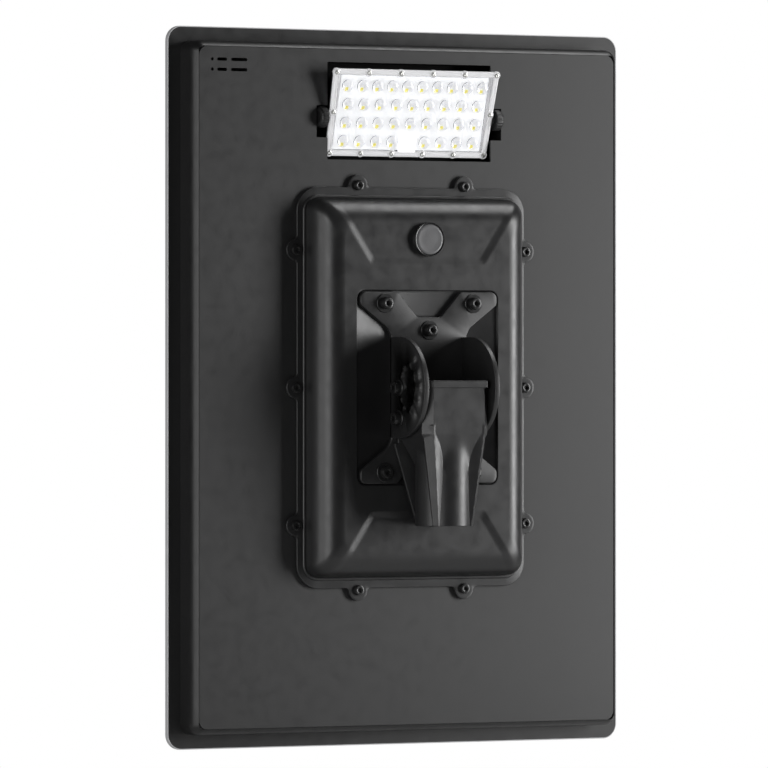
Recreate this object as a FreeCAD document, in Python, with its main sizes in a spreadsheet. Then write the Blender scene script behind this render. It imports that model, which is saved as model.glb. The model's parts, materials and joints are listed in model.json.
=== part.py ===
import FreeCAD, Part
import math
import os

import Sketcher

# Solar street-light head: a flat panel slab with a battery dome, a tilting lamp module, a push button
# and a yoke bracket that tilts on a pole sleeve. Millimetres. +Z up, +X across the panel, and the lamp
# side looks along -Y. The origin is the centre of the pole sleeve's mouth, on the pole's axis.
#
# Head pieces are drawn in the head frame: x across, z up from the tilt axis, and depth measured
# rearwards (-Y) from the outer face of the rear cover. Lamp pieces are drawn in the lamp frame, whose
# origin is the lamp's own tilt axis and whose depth is measured along the lamp's facing direction.

SIZES = {
    # pole sleeve
    "pivot_height": 171.5, "pivot_inset": 19.5, "pole_bore_radius": 31, "sleeve_wall": 4,
    "pole_bore_depth": 80, "sleeve_tube_top": 112, "block_side": 12, "block_front_inset": 3.5,
    "block_back": 3.5, "block_back_side": 2, "sleeve_corner_depth": 10.5,
    "block_bottom": 114, "block_rise": 9, "lip_depth": 3, "sleeve_flat_bottom": 76,
    "sleeve_flat_gap": 1.5, "neck_foot": 62, "neck_side_share": 0.65, "neck_back_share": 0.92,
    "neck_corner_share": 0.4, "rib_top": 125.5, "rib_top_width": 14, "rib_foot_width": 7,
    "rib_side": 7, "rib_back_inset": 1.5, "rib_crown": 0.6, "web_side": 6, "web_half_foot": 20,
    "web_thick": 4, "web_top": 102.5, "web_back": 2, "set_screw_radius": 4, "set_screw_low": 22,
    "set_screw_high": 52, "set_screw_start": 0.3, "set_screw_proud": 1.5, "set_screw_socket": 2.2,
    # slab
    "frame_width": 650, "frame_height": 894, "frame_thick": 7, "frame_corner": 19,
    "frame_ledge": 12, "glass_thick": 3.2, "cell_thick": 0.6, "sheet_thick": 0.5, "glass_sink": 0.2,
    "glass_gap": 0.5, "glass_border": 20.5, "cell_gap": 2, "cell_margin": 5,
    "cell_columns": 4, "cell_rows": 9,
    "flange_side": 18, "flange_end": 18.5, "tray_depth": 34.5, "tray_corner": 14, "tray_wall": 8,
    "tray_lip": 7, "shoulder_depth": 17, "cover_gap": 0.6, "cover_thick": 2.5, "cover_corner": 11,
    "seat_width": 8, "seat_thick": 2, "pivot_reach": 19.2,
    # vent slots
    "vent_height": 4, "vent_drop": 15.6, "vent_pitch": 12.6, "vent_dot_inset": 18.4,
    "vent_short_inset": 32.2, "vent_short_length": 13.9, "vent_long_inset": 56.2, "vent_long_length": 23,
    # lamp window and well
    "window_inset": 1.5, "window_drop": 23.4, "window_height": 121.3, "notch_depth": 15.5,
    "notch_below": 25.4, "notch_above": 14.6, "well_wall": 1.2, "well_side": 17, "well_floor": 33,
    # dome
    "gasket_thick": 1, "dome_half_width": 152, "dome_half_height": 236,
    "dome_corner": 21, "dome_shoulder": 34, "dome_wall": 4, "dome_roof": 8, "flange_rim": 12.3,
    "flange_rim_end": 13.6, "flange_thick": 4, "flange_corner": 30, "gasket_inset": 1, "lobe_radius": 13.5,
    "lobe_out": 1, "lobe_rise": 171, "lobe_top_side": 76.5, "lobe_end_out": 2.4,
    "facet_depth": 1.2, "facet_low": 158.5, "facet_half_low": 79.8, "facet_half_high": 132.2,
    "counterbore": 9.6, "counterbore_depth": 1.5, "screw_head": 6.5, "screw_head_height": 5,
    "screw_shank": 4, "screw_clearance": 0.3, "nut_radius": 7.5, "nut_height": 6.5,
    "socket_radius": 3.2, "pocket_half_width": 101, "pocket_half_height": 121, "pocket_depth": 2.7,
    "pocket_corner": 11,
    # yoke
    "yoke_thick": 6, "yoke_half_width": 98, "yoke_half_height": 119, "yoke_corner_drop": 16, "yoke_corner": 8,
    "yoke_knee_side": 4.6, "yoke_knee_rise": 74, "yoke_waist_rise": 64.6,
    "yoke_notch_half": 45.5, "yoke_notch_floor_half": 17, "yoke_notch_floor": 87.8,
    "ear_radius": 63, "ear_thick": 6.5, "ear_gap": 0.5, "ring_radius": 38, "ring_hole": 3.3,
    "near_hole_out": 8.5, "near_hole_rise": 24, "small_hole": 2.4, "small_hole_out": 2.6,
    "small_hole_rise": 13.6,
    "yoke_screw_side": 63.5, "yoke_screw_rise": 105, "yoke_screw_middle": 71.6,
    "yoke_washer": 12, "yoke_washer_thick": 1.6, "yoke_head": 7.5, "yoke_head_height": 7,
    "bolt_radius": 5, "bolt_clearance": 0.3, "washer_rim": 5.2, "bolt_washer_thick": 2,
    "head_rim": 3, "bolt_head_height": 8, "nut_rim": 3.8, "bolt_nut_height": 8, "bolt_proud": 2,
    "socket_share": 0.55, "socket_depth_share": 0.6,
    # push button
    "button_rise": 184.6, "button_cap": 19, "button_ring": 21.5, "button_proud": 6.5,
    "button_gap": 0.4, "button_barrel": 0.9, "button_barrel_depth": 10, "button_skirt": 4,
    "button_ring_drop": 1, "switch_gap": 0.3,
    "switch_radius": 12, "switch_height": 9, "button_travel": 3,
    # battery and electronics
    "battery_radius": 16, "battery_length": 69, "battery_columns": 3, "battery_rows": 10,
    "battery_gap": 1.5, "battery_low": 33.25, "battery_lift": 2, "battery_under": 0.2,
    "battery_headroom": 1.8, "tray_plastic": 1.5, "battery_side_gap": 1, "battery_end_gap": 2,
    "box_width": 130, "box_height": 52, "box_clear": 5.2, "box_rise": 190,
    "board_width": 24, "board_height": 120, "board_depth": 8, "board_side": 127,
    # lamp module
    "lamp_pivot_drop": 92.1, "lamp_pivot_sink": 1, "lamp_tilt": 15, "lamp_top_half": 119.5,
    "lamp_foot_half": 115.5, "lamp_top": 63, "lamp_foot": -48.2, "lens_front": 4.87,
    "lens_thick": 2, "lamp_gasket": 0.5, "dome_lens_radius": 8, "dome_lens_height": 2.6,
    "housing_top_inset": 2.5, "housing_foot_inset": 1.1, "housing_inset": 1, "housing_back": -2,
    "board_pocket": 2.2, "lamp_board_half": 107, "lamp_board_room": 0.5, "lamp_board_thick": 1.6,
    "lamp_board_margin": 8,
    "chip_side": 3.5, "chip_thick": 0.5, "chip_drop": 4, "fin_count": 18, "fin_sheet": 2,
    "fin_span": 204, "fin_deep": 28, "fin_shallow": 20, "fin_root": 1, "fin_low": 12.2, "fin_low_step": 28.2,
    "fin_low_deep": 48.2, "fin_high": 3, "fin_high_step": 5, "fin_high_deep": 9, "boss_reach": 12,
    "boss_half": 7.5, "lens_screw_head": 3.1,
    "lens_screw_height": 1.8, "lens_screw_shank": 1.5, "lens_screw_clearance": 0.1, "lens_screw_inset": 4.2,
    "lens_screw_depth": 4.6, "patch_width": 22.6, "patch_height": 21, "patch_thick": 1,
    "patch_drop": 2.4, "lamp_row_top": 21.4, "lamp_row_drop": 23.6, "lamp_row_pitch": 23.4,
    "lamp_long_pitch": 21.6, "side_screw_rise": 0.6,
    # lamp clamp
    "ear_sheet": 2, "lamp_ear_gap": 0.2, "lamp_ear_radius": 7, "lamp_ear_hole": 2.3,
    "lamp_foot_reach": 12, "knob_radius": 13.4, "knob_length": 11.2, "knob_gap": 0.6,
    "stud_radius": 2, "stud_clearance": 0.2, "stud_reach": 11,
}

doc = FreeCAD.newDocument("solar_street_light")
sheet = doc.addObject("Spreadsheet::Sheet", "sizes")
for row, (alias, amount) in enumerate(SIZES.items(), start=1):
    sheet.set("A%d" % row, alias)
    sheet.set("B%d" % row, str(amount))
    sheet.setAlias("B%d" % row, alias)
doc.recompute()


class Size:
    """A length that carries both its value and the spreadsheet formula it comes from."""

    def __init__(self, amount, text):
        self.amount = amount
        self.text = text

    def _join(self, other, sign, amount, swap=False):
        pair = (formula(other), self.text) if swap else (self.text, formula(other))
        return Size(amount, "(%s %s %s)" % (pair[0], sign, pair[1]))

    def __add__(self, other):
        return self._join(other, "+", self.amount + number(other))

    def __sub__(self, other):
        return self._join(other, "-", self.amount - number(other))

    def __rsub__(self, other):
        return self._join(other, "-", number(other) - self.amount, swap=True)

    def __mul__(self, other):
        return self._join(other, "*", self.amount * number(other))

    def __truediv__(self, other):
        return self._join(other, "/", self.amount / number(other))

    def __neg__(self):
        return Size(-self.amount, "(0 - %s)" % self.text)

    __radd__ = __add__
    __rmul__ = __mul__


def number(value):
    """The plain value of a size or of a number."""
    return value.amount if isinstance(value, Size) else float(value)


def formula(value):
    """The text that binds a property to the spreadsheet."""
    return value.text if isinstance(value, Size) else "(%s)" % round(float(value), 6)


class Sheet:
    """Gives each named size of the spreadsheet as a Size."""

    def __getattr__(self, name):
        return Size(float(SIZES[name]), "sizes.%s" % name)


s = Sheet()
nodes = []

# Depths that several pieces share, in the head frame.
frame_back = -s.tray_depth
frame_front = frame_back - s.frame_thick
dome_seat = s.gasket_thick
battery_depth = s.battery_lift + s.tray_plastic + s.battery_under + s.battery_radius * 2
dome_top = battery_depth + s.battery_headroom + s.dome_roof
switch_top = dome_top - s.button_skirt - s.button_travel - s.switch_gap
box_top = switch_top - s.switch_height - s.box_clear
pocket_floor = dome_top - s.pocket_depth
yoke_face = pocket_floor + s.yoke_thick
pivot_depth = yoke_face + s.pivot_reach
tube_radius = s.pole_bore_radius + s.sleeve_wall
pivot_offset = tube_radius - s.pivot_inset
cover_y = pivot_offset + pivot_depth

# Widths and heights that several pieces share.
block_half = tube_radius + s.block_side
block_front = tube_radius - s.block_front_inset
block_back = tube_radius + s.block_back
ear_inner = block_half + s.ear_gap
ear_outer = ear_inner + s.ear_thick
bolt_hole = s.bolt_radius + s.bolt_clearance
tray_half_w = s.frame_width / 2 - s.flange_side
tray_half_h = s.frame_height / 2 - s.flange_end
cover_half_w = tray_half_w - s.tray_lip - s.cover_gap
cover_half_h = tray_half_h - s.tray_lip - s.cover_gap
rim_half_w = s.dome_half_width + s.flange_rim
rim_half_h = s.dome_half_height + s.flange_rim_end
lamp_rise = tray_half_h - s.lamp_pivot_drop
window_half = s.lamp_top_half - s.window_inset
window_high = tray_half_h - s.window_drop
window_low = window_high - s.window_height
lens_back = s.lens_front - s.lens_thick
housing_front = lens_back - s.lamp_gasket
LAMP = (0, cover_y + s.lamp_pivot_sink, s.pivot_height + lamp_rise)
HEAD = (0, cover_y, s.pivot_height)
ROOT = (0, 0, 0)


# ---------------------------------------------------------------- drawing helpers

def put(thing, frame):
    """Binds a piece's Placement to one of the three frames."""
    if frame is LAMP:
        thing.Placement = FreeCAD.Placement(FreeCAD.Vector(), FreeCAD.Rotation(FreeCAD.Vector(1, 0, 0), 1))
        thing.setExpression("Placement.Rotation.Angle", s.lamp_tilt.text)
    for axis, value in zip("xyz", frame):
        thing.setExpression("Placement.Base.%s" % axis, formula(value))


def new_body(label, frame, keep=True):
    """A PartDesign body that may hold several separate solids; kept ones are written out."""
    body = doc.addObject("PartDesign::Body", label)
    body.Label = label
    body.AllowCompound = True
    put(body, frame)
    if keep:
        nodes.append(body)
    return body


def origin_item(body, role):
    """One of the body's own origin planes or axes."""
    return next(item for item in body.Origin.OriginFeatures if item.Role == role)


def sketch_on(body, role, offset):
    """A sketch parallel to one of the body's origin planes, moved along that plane's normal."""
    sketch = body.newObject("Sketcher::SketchObject", "%s_sketch" % body.Label)
    sketch.AttachmentSupport = [(origin_item(body, role), "")]
    sketch.MapMode = "FlatFace"
    sketch.setExpression("AttachmentOffset.Base.z", formula(offset))
    return sketch


def fix(sketch, rules):
    """Adds constraints, each with the size that drives it or None."""
    first = sketch.ConstraintCount
    sketch.addConstraint([rule for rule, size in rules])
    for place, (rule, size) in enumerate(rules):
        if size is not None:
            sketch.setExpression("Constraints[%d]" % (first + place), formula(size))


def pin(geometry, point, x, y):
    """Rules that hold one point of a sketch at x, y from the sketch's origin."""
    rules = []
    for kind, value, axis in (("DistanceX", x, -2), ("DistanceY", y, -1)):
        if number(value) == 0:
            rules.append((Sketcher.Constraint("PointOnObject", geometry, point, axis), None))
        else:
            rule = Sketcher.Constraint(kind, -1, 1, geometry, point, number(value))
            rules.append((rule, value))
    return rules


def draw_polygon(sketch, points):
    """A closed outline of straight lines, every corner held by its own two sizes."""
    first = sketch.GeometryCount
    count = len(points)
    spots = [FreeCAD.Vector(number(x), number(y), 0) for x, y in points]
    for place in range(count):
        sketch.addGeometry(Part.LineSegment(spots[place], spots[(place + 1) % count]), False)
    rules = []
    for place, (x, y) in enumerate(points):
        after = first + (place + 1) % count
        rules.append((Sketcher.Constraint("Coincident", first + place, 2, after, 1), None))
        rules += pin(first + place, 1, x, y)
    fix(sketch, rules)


def draw_rectangle(sketch, low_x, low_y, high_x, high_y):
    """A rectangle between two opposite corners."""
    draw_polygon(sketch, [(low_x, low_y), (high_x, low_y), (high_x, high_y), (low_x, high_y)])


def draw_centred(sketch, half_x, half_y):
    """A rectangle centred on the sketch's origin."""
    draw_rectangle(sketch, -half_x, -half_y, half_x, half_y)


def draw_circles(sketch, centres, radius):
    """A circle of the same radius at each centre."""
    rules = []
    for x, y in centres:
        spot = FreeCAD.Vector(number(x), number(y), 0)
        place = sketch.addGeometry(Part.Circle(spot, FreeCAD.Vector(0, 0, 1), number(radius)), False)
        rules += pin(place, 3, x, y)
        rules.append((Sketcher.Constraint("Radius", place, number(radius)), radius))
    fix(sketch, rules)


def draw_hexagons(sketch, centres, radius):
    """A hexagon, by its corner radius, at each centre."""
    for x, y in centres:
        turns = [math.radians(60 * step) for step in range(6)]
        draw_polygon(sketch, [(x + radius * round(math.cos(turn), 6), y + radius * round(math.sin(turn), 6))
                              for turn in turns])


def draw_round_ended(sketch, x, y, half_straight, radius):
    """A slot along the sketch's x axis: two straight sides joined by two half circles."""
    left, right = number(x - half_straight), number(x + half_straight)
    low, high = number(y - radius), number(y + radius)
    middle = number(y)
    up = FreeCAD.Vector(0, 0, 1)
    first = sketch.GeometryCount
    sketch.addGeometry(Part.LineSegment(FreeCAD.Vector(left, low, 0), FreeCAD.Vector(right, low, 0)), False)
    round_end = Part.Circle(FreeCAD.Vector(right, middle, 0), up, number(radius))
    sketch.addGeometry(Part.ArcOfCircle(round_end, -math.pi / 2, math.pi / 2), False)
    sketch.addGeometry(Part.LineSegment(FreeCAD.Vector(right, high, 0), FreeCAD.Vector(left, high, 0)), False)
    round_end = Part.Circle(FreeCAD.Vector(left, middle, 0), up, number(radius))
    sketch.addGeometry(Part.ArcOfCircle(round_end, math.pi / 2, 3 * math.pi / 2), False)
    rules = [(Sketcher.Constraint("Tangent", first + place, 2, first + (place + 1) % 4, 1), None)
             for place in range(4)]
    rules += pin(first + 1, 3, x + half_straight, y) + pin(first + 3, 3, x - half_straight, y)[:1]
    rules.append((Sketcher.Constraint("Horizontal", first), None))
    rules.append((Sketcher.Constraint("Radius", first + 1, number(radius)), radius))
    fix(sketch, rules)


def draw_tongue(sketch, root_x, centre_x, half_height, centre_y=0):
    """A plate outline that is square at root_x and a half circle about centre_x, centre_y, towards -x."""
    root, centre, half, middle = number(root_x), number(centre_x), number(half_height), number(centre_y)
    corners = [FreeCAD.Vector(centre, middle - half, 0), FreeCAD.Vector(root, middle - half, 0),
               FreeCAD.Vector(root, middle + half, 0), FreeCAD.Vector(centre, middle + half, 0)]
    first = sketch.GeometryCount
    for place in range(3):
        sketch.addGeometry(Part.LineSegment(corners[place], corners[place + 1]), False)
    ring = Part.Circle(FreeCAD.Vector(centre, middle, 0), FreeCAD.Vector(0, 0, 1), half)
    sketch.addGeometry(Part.ArcOfCircle(ring, math.pi / 2, 3 * math.pi / 2), False)
    rules = [(Sketcher.Constraint("Coincident", first + place, 2, first + (place + 1) % 4, 1), None)
             for place in range(4)]
    low, high = centre_y - half_height, centre_y + half_height
    rules += pin(first + 1, 1, root_x, low) + pin(first + 2, 1, root_x, high)
    rules += pin(first, 1, centre_x, low) + pin(first + 2, 2, centre_x, high)
    rules += pin(first + 3, 3, centre_x, centre_y)[:1]
    fix(sketch, rules)


def pad(body, sketch, length, back=False):
    """Grows the sketch along its normal, or the other way."""
    feature = body.newObject("PartDesign::Pad", "%s_pad" % body.Label)
    feature.Profile = sketch
    feature.setExpression("Length", formula(length))
    feature.Reversed = back
    return feature


def cut(body, sketch, length=None, back=False):
    """Cuts the sketch against its normal, or the other way; with no length it goes right through."""
    feature = body.newObject("PartDesign::Pocket", "%s_cut" % body.Label)
    feature.Profile = sketch
    feature.Reversed = back
    if length is None:
        feature.Type = "ThroughAll"
    else:
        feature.setExpression("Length", formula(length))
    return feature


def soften(body, kind, size, wanted):
    """Rounds (Fillet) or bevels (Chamfer) the edges of the body so far that wanted accepts."""
    doc.recompute()
    base = body.Tip
    names = ["Edge%d" % (place + 1) for place, edge in enumerate(base.Shape.Edges) if wanted(edge)]
    feature = body.newObject("PartDesign::%s" % kind, "%s_%s" % (body.Label, kind.lower()))
    feature.Base = (base, names)
    feature.setExpression("Radius" if kind == "Fillet" else "Size", formula(size))
    return feature


def runs_along(axis):
    """Accepts straight edges parallel to one axis."""
    def check(edge):
        if edge.Curve.TypeId != "Part::GeomLine":
            return False
        ends = [vertex.Point for vertex in edge.Vertexes]
        return abs((ends[1] - ends[0]).normalize().dot(axis)) > 0.999
    return check


ALONG_Y = runs_along(FreeCAD.Vector(0, 1, 0))


def outer_corner(half_x):
    """Accepts edges along Y that lie at half_x from the middle plane."""
    def check(edge):
        return ALONG_Y(edge) and abs(abs(edge.CenterOfMass.x) - number(half_x)) < 0.01
    return check


def at_depth(depth):
    """Accepts edges in the plane at that depth."""
    def check(edge):
        box = edge.BoundBox
        return box.YLength < 0.01 and abs(-box.YMin - number(depth)) < 0.01
    return check


def round_group(label, frame, role, centres, steps, keep=True):
    """Turned pieces, one at each centre: steps are (radius, from, to) along the plane's normal."""
    body = new_body(label, frame, keep)
    for radius, start, end in steps:
        sketch = sketch_on(body, role, start)
        draw_circles(sketch, centres, radius)
        pad(body, sketch, end - start)
    return body


def plate(label, frame, half_x, half_z, front, back, corner=None, keep=True):
    """A flat rounded rectangle centred on the frame, from one depth to another."""
    body = new_body(label, frame, keep)
    sketch = sketch_on(body, "XZ_Plane", front)
    draw_centred(sketch, half_x, half_z)
    pad(body, sketch, back - front)
    if corner is not None:
        soften(body, "Fillet", corner, ALONG_Y)
    return body


def add_box(name, low, high):
    """A box between two corners given as (x, depth, z), with the depth counted towards -Y."""
    box = doc.addObject("Part::Box", name)
    box.setExpression("Length", formula(high[0] - low[0]))
    box.setExpression("Width", formula(high[1] - low[1]))
    box.setExpression("Height", formula(high[2] - low[2]))
    box.setExpression("Placement.Base.x", formula(low[0]))
    box.setExpression("Placement.Base.y", formula(0 - high[1]))
    box.setExpression("Placement.Base.z", formula(low[2]))
    return box


def add_rod(name, radius, start, length, depth, rise):
    """A cylinder along X that starts at start, at that depth and rise."""
    rod = doc.addObject("Part::Cylinder", name)
    rod.setExpression("Radius", formula(radius))
    rod.setExpression("Height", formula(length))
    rod.Placement = FreeCAD.Placement(FreeCAD.Vector(), FreeCAD.Rotation(FreeCAD.Vector(0, 1, 0), 90))
    rod.setExpression("Placement.Base.x", formula(start))
    rod.setExpression("Placement.Base.y", formula(0 - depth))
    rod.setExpression("Placement.Base.z", formula(rise))
    return rod


def gather(label, frame, pieces):
    """Several separate solids written out as one node."""
    group = doc.addObject("Part::Compound", label)
    group.Label = label
    group.Links = pieces
    put(group, frame)
    nodes.append(group)
    return group


def boolean(kind, name, base, tool):
    """Part::Cut, Part::Fuse or Part::Common of two objects."""
    result = doc.addObject("Part::%s" % kind, name)
    result.Base = base
    result.Tool = tool
    return result


# ---------------------------------------------------------------- pole sleeve

def make_pole_sleeve():
    """Casting: a tube for the pole, a squarer block for the tilt bolts, and a neck between them."""
    body = new_body("sleeve_casting", ROOT, keep=False)
    tube = sketch_on(body, "XY_Plane", 0)
    draw_circles(tube, [(0, 0)], tube_radius)
    pad(body, tube, s.sleeve_tube_top)

    corner_y = s.sleeve_corner_depth - block_back
    back_half = tube_radius + s.block_back_side
    outline = [(-block_half, block_front), (-block_half, corner_y), (-back_half, -block_back),
               (back_half, -block_back), (block_half, corner_y), (block_half, block_front)]
    block = sketch_on(body, "XY_Plane", s.block_bottom)
    draw_polygon(block, outline)
    pad(body, block, s.pivot_height + s.block_rise - s.block_bottom)

    # Neck: a ruled skin from the block's outline down into the tube.
    foot = sketch_on(body, "XY_Plane", s.neck_foot)
    side, back = tube_radius * s.neck_side_share, tube_radius * s.neck_back_share
    corner = tube_radius * s.neck_corner_share
    draw_polygon(foot, [(-side, corner), (-side, -corner), (-corner, -back), (corner, -back), (side, -corner),
                        (side, corner)])
    head = sketch_on(body, "XY_Plane", s.block_bottom)
    draw_polygon(head, outline)
    neck = body.newObject("PartDesign::AdditiveLoft", "sleeve_neck")
    neck.Profile = foot
    neck.Sections = [head]
    neck.Ruled = True

    # Two ribs run from the block's rear corners down to the tube's mouth.
    reach = tube_radius * math.sqrt(0.5)
    for side in (-1, 1):
        ends = []
        for height, x, y, width in ((0, reach, reach, s.rib_foot_width),
                                    (s.rib_top, tube_radius + s.rib_side, tube_radius - s.rib_back_inset,
                                     s.rib_top_width)):
            profile = sketch_on(body, "XY_Plane", height)
            half = width / 2
            crown = half * s.rib_crown
            draw_polygon(profile, [((x - half) * side, -y), (x * side, -y - crown), ((x + crown) * side, -y),
                                   (x * side, -y + half)])
            ends.append(profile)
        rib = body.newObject("PartDesign::AdditiveLoft", "sleeve_rib")
        rib.Profile = ends[0]
        rib.Sections = [ends[1]]
        rib.Ruled = True

    # Flat web in front: wide below the block, narrow at the mouth.
    web = sketch_on(body, "XZ_Plane", s.web_thick - block_front - s.web_back)
    right = [(s.web_half_foot, 0), (block_half + s.web_side, s.web_top), (block_half, s.web_top),
             (block_half, s.block_bottom)]
    draw_polygon(web, right + [(-x, z) for x, z in reversed(right)])
    pad(body, web, s.web_thick, back=True)

    # Lip round the top of the rear face.
    lip = sketch_on(body, "XY_Plane", s.pivot_height)
    lip_back, lip_half = -block_back - s.lip_depth, back_half + s.lip_depth
    draw_polygon(lip, [(-block_half, 0), (-block_half, corner_y - s.lip_depth), (-lip_half, lip_back),
                       (lip_half, lip_back), (block_half, corner_y - s.lip_depth), (block_half, 0)])
    pad(body, lip, s.block_rise)

    # Flat on the front, so that the casting clears the yoke's plate.
    flat = sketch_on(body, "XZ_Plane", -block_front - s.sleeve_flat_gap)
    draw_rectangle(flat, -tube_radius, s.sleeve_flat_bottom, tube_radius, s.pivot_height + s.block_rise * 2)
    cut(body, flat, tube_radius)

    bore = sketch_on(body, "XY_Plane", 0)
    draw_circles(bore, [(0, 0)], s.pole_bore_radius)
    cut(body, bore, s.pole_bore_depth, back=True)

    screws = sketch_on(body, "YZ_Plane", tube_radius + s.sleeve_wall)
    draw_circles(screws, [(0, s.set_screw_low), (0, s.set_screw_high)], s.set_screw_radius)
    cut(body, screws, tube_radius)

    pivot = sketch_on(body, "YZ_Plane", ear_outer)
    draw_circles(pivot, [(pivot_offset, s.pivot_height)], bolt_hole)
    cut(body, pivot)

    # Curved way for the lock bolt: a quarter ring about the tilt axis, with a round end.
    depth = -pivot_offset
    span = ear_outer * 2
    outer = add_rod("lock_way_outer", s.ring_radius + bolt_hole, -ear_outer, span, depth, s.pivot_height)
    inner = add_rod("lock_way_inner", s.ring_radius - bolt_hole, -ear_outer - 1, span + 2, depth,
                    s.pivot_height)
    ring = boolean("Cut", "lock_way_ring", outer, inner)
    reach = s.ring_radius * 2
    quarter = add_box("lock_way_quarter", (-ear_outer, depth - reach, s.pivot_height - reach),
                      (ear_outer, depth, s.pivot_height))
    way = boolean("Common", "lock_way_arc", ring, quarter)
    end = add_rod("lock_way_end", bolt_hole, -ear_outer, span, depth, s.pivot_height - s.ring_radius)
    channel = boolean("Fuse", "lock_way", way, end)
    sleeve = boolean("Cut", "pole_sleeve", body, channel)
    sleeve.Label = "pole_sleeve"
    nodes.append(sleeve)

    grub = new_body("sleeve_set_screws", ROOT)
    places = [(0, s.set_screw_low), (0, s.set_screw_high)]
    grub_end = tube_radius + s.set_screw_proud
    shank = sketch_on(grub, "YZ_Plane", s.pole_bore_radius + s.set_screw_start)
    draw_circles(shank, places, s.set_screw_radius)
    pad(grub, shank, grub_end - s.pole_bore_radius - s.set_screw_start)
    socket = sketch_on(grub, "YZ_Plane", grub_end)
    draw_hexagons(socket, places, s.set_screw_socket)
    cut(grub, socket, s.sleeve_wall / 2)


# ---------------------------------------------------------------- panel slab

def make_panel():
    """Flanged frame, glass, cells and back sheet on the sun side."""
    half_w = s.frame_width / 2
    half_h = s.frame_height / 2
    glass_w = half_w - s.glass_border
    glass_h = half_h - s.glass_border
    frame = new_body("front_frame", HEAD)
    ring = sketch_on(frame, "XZ_Plane", frame_front)
    draw_centred(ring, half_w, half_h)
    pad(frame, ring, s.frame_thick)
    soften(frame, "Fillet", s.frame_corner, ALONG_Y)
    opening = sketch_on(frame, "XZ_Plane", frame_back)
    draw_centred(opening, glass_w - s.frame_ledge, glass_h - s.frame_ledge)
    cut(frame, opening)
    rabbet = sketch_on(frame, "XZ_Plane", frame_front)
    draw_centred(rabbet, glass_w + s.glass_gap, glass_h + s.glass_gap)
    stack = s.glass_thick + s.cell_thick + s.sheet_thick
    cut(frame, rabbet, stack + s.glass_sink, back=True)

    glass_front = frame_front + s.glass_sink
    glass_back = glass_front + s.glass_thick
    cell_back = glass_back + s.cell_thick
    plate("solar_glass", HEAD, glass_w, glass_h, glass_front, glass_back)
    plate("panel_backsheet", HEAD, glass_w, glass_h, cell_back, cell_back + s.sheet_thick)

    columns, rows = int(SIZES["cell_columns"]), int(SIZES["cell_rows"])
    wide = (glass_w * 2 - s.cell_margin * 2 - s.cell_gap * (columns - 1)) / columns
    tall = (glass_h * 2 - s.cell_margin * 2 - s.cell_gap * (rows - 1)) / rows
    cells = []
    for column in range(columns):
        for line in range(rows):
            low_x = s.cell_margin - glass_w + (wide + s.cell_gap) * column
            low_z = s.cell_margin - glass_h + (tall + s.cell_gap) * line
            high = (low_x + wide, cell_back, low_z + tall)
            cells.append(add_box("solar_cell", (low_x, glass_back, low_z), high))
    gather("solar_cells", HEAD, cells)


def make_tray():
    """Side wall of the slab with a sloping rear shoulder and a seat for the rear cover."""
    half_w, half_h = tray_half_w, tray_half_h
    tray = new_body("rear_tray", HEAD)
    outline = sketch_on(tray, "XZ_Plane", frame_back)
    draw_centred(outline, half_w, half_h)
    pad(tray, outline, s.tray_depth)
    soften(tray, "Fillet", s.tray_corner, ALONG_Y)
    doc.recompute()
    rim = tray.Tip
    names = ["Edge%d" % (place + 1) for place, edge in enumerate(rim.Shape.Edges)
             if edge.BoundBox.YLength < 0.01 and abs(edge.BoundBox.YMin) < 0.01]
    shoulder = tray.newObject("PartDesign::Chamfer", "rear_tray_shoulder")
    shoulder.Base = (rim, names)
    shoulder.ChamferType = "Two distances"
    shoulder.setExpression("Size", formula(s.shoulder_depth))
    shoulder.setExpression("Size2", formula(s.tray_lip - s.cover_gap))
    recess = sketch_on(tray, "XZ_Plane", 0)
    draw_centred(recess, half_w - s.tray_lip, half_h - s.tray_lip)
    cut(tray, recess, s.cover_thick)
    seat = sketch_on(tray, "XZ_Plane", 0)
    draw_centred(seat, half_w - s.tray_lip - s.seat_width, half_h - s.tray_lip - s.seat_width)
    cut(tray, seat)
    hollow = sketch_on(tray, "XZ_Plane", frame_back)
    draw_centred(hollow, half_w - s.tray_wall, half_h - s.tray_wall)
    cut(tray, hollow, s.tray_depth - s.cover_thick - s.seat_thick, back=True)


def make_rear_cover():
    """Flat plate with the lamp window, its two knob notches and the vent slots."""
    cover = new_body("rear_cover", HEAD)
    face = sketch_on(cover, "XZ_Plane", -s.cover_thick)
    draw_centred(face, cover_half_w, cover_half_h)
    pad(cover, face, s.cover_thick)
    soften(cover, "Fillet", s.cover_corner, ALONG_Y)
    window = sketch_on(cover, "XZ_Plane", 0)
    notch = window_half + s.notch_depth
    notch_low, notch_high = lamp_rise - s.notch_below, lamp_rise + s.notch_above
    draw_polygon(window, [(-window_half, window_low), (window_half, window_low), (window_half, notch_low),
                          (notch, notch_low), (notch, notch_high), (window_half, notch_high),
                          (window_half, window_high), (-window_half, window_high), (-window_half, notch_high),
                          (-notch, notch_high), (-notch, notch_low), (-window_half, notch_low)])
    cut(cover, window)
    vents = sketch_on(cover, "XZ_Plane", 0)
    radius = s.vent_height / 2
    rows = (cover_half_h - s.vent_drop, cover_half_h - s.vent_drop - s.vent_pitch)
    draw_circles(vents, [(s.vent_dot_inset - cover_half_w, height) for height in rows], radius)
    slots = ((s.vent_short_inset, s.vent_short_length), (s.vent_long_inset, s.vent_long_length))
    for height in rows:
        for inset, length in slots:
            draw_round_ended(vents, inset - cover_half_w, height, length / 2 - radius, radius)
    cut(cover, vents)
    holes = sketch_on(cover, "XZ_Plane", 0)
    draw_circles(holes, cover_screw_places(), s.screw_shank + s.screw_clearance)
    cut(cover, holes)


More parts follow.
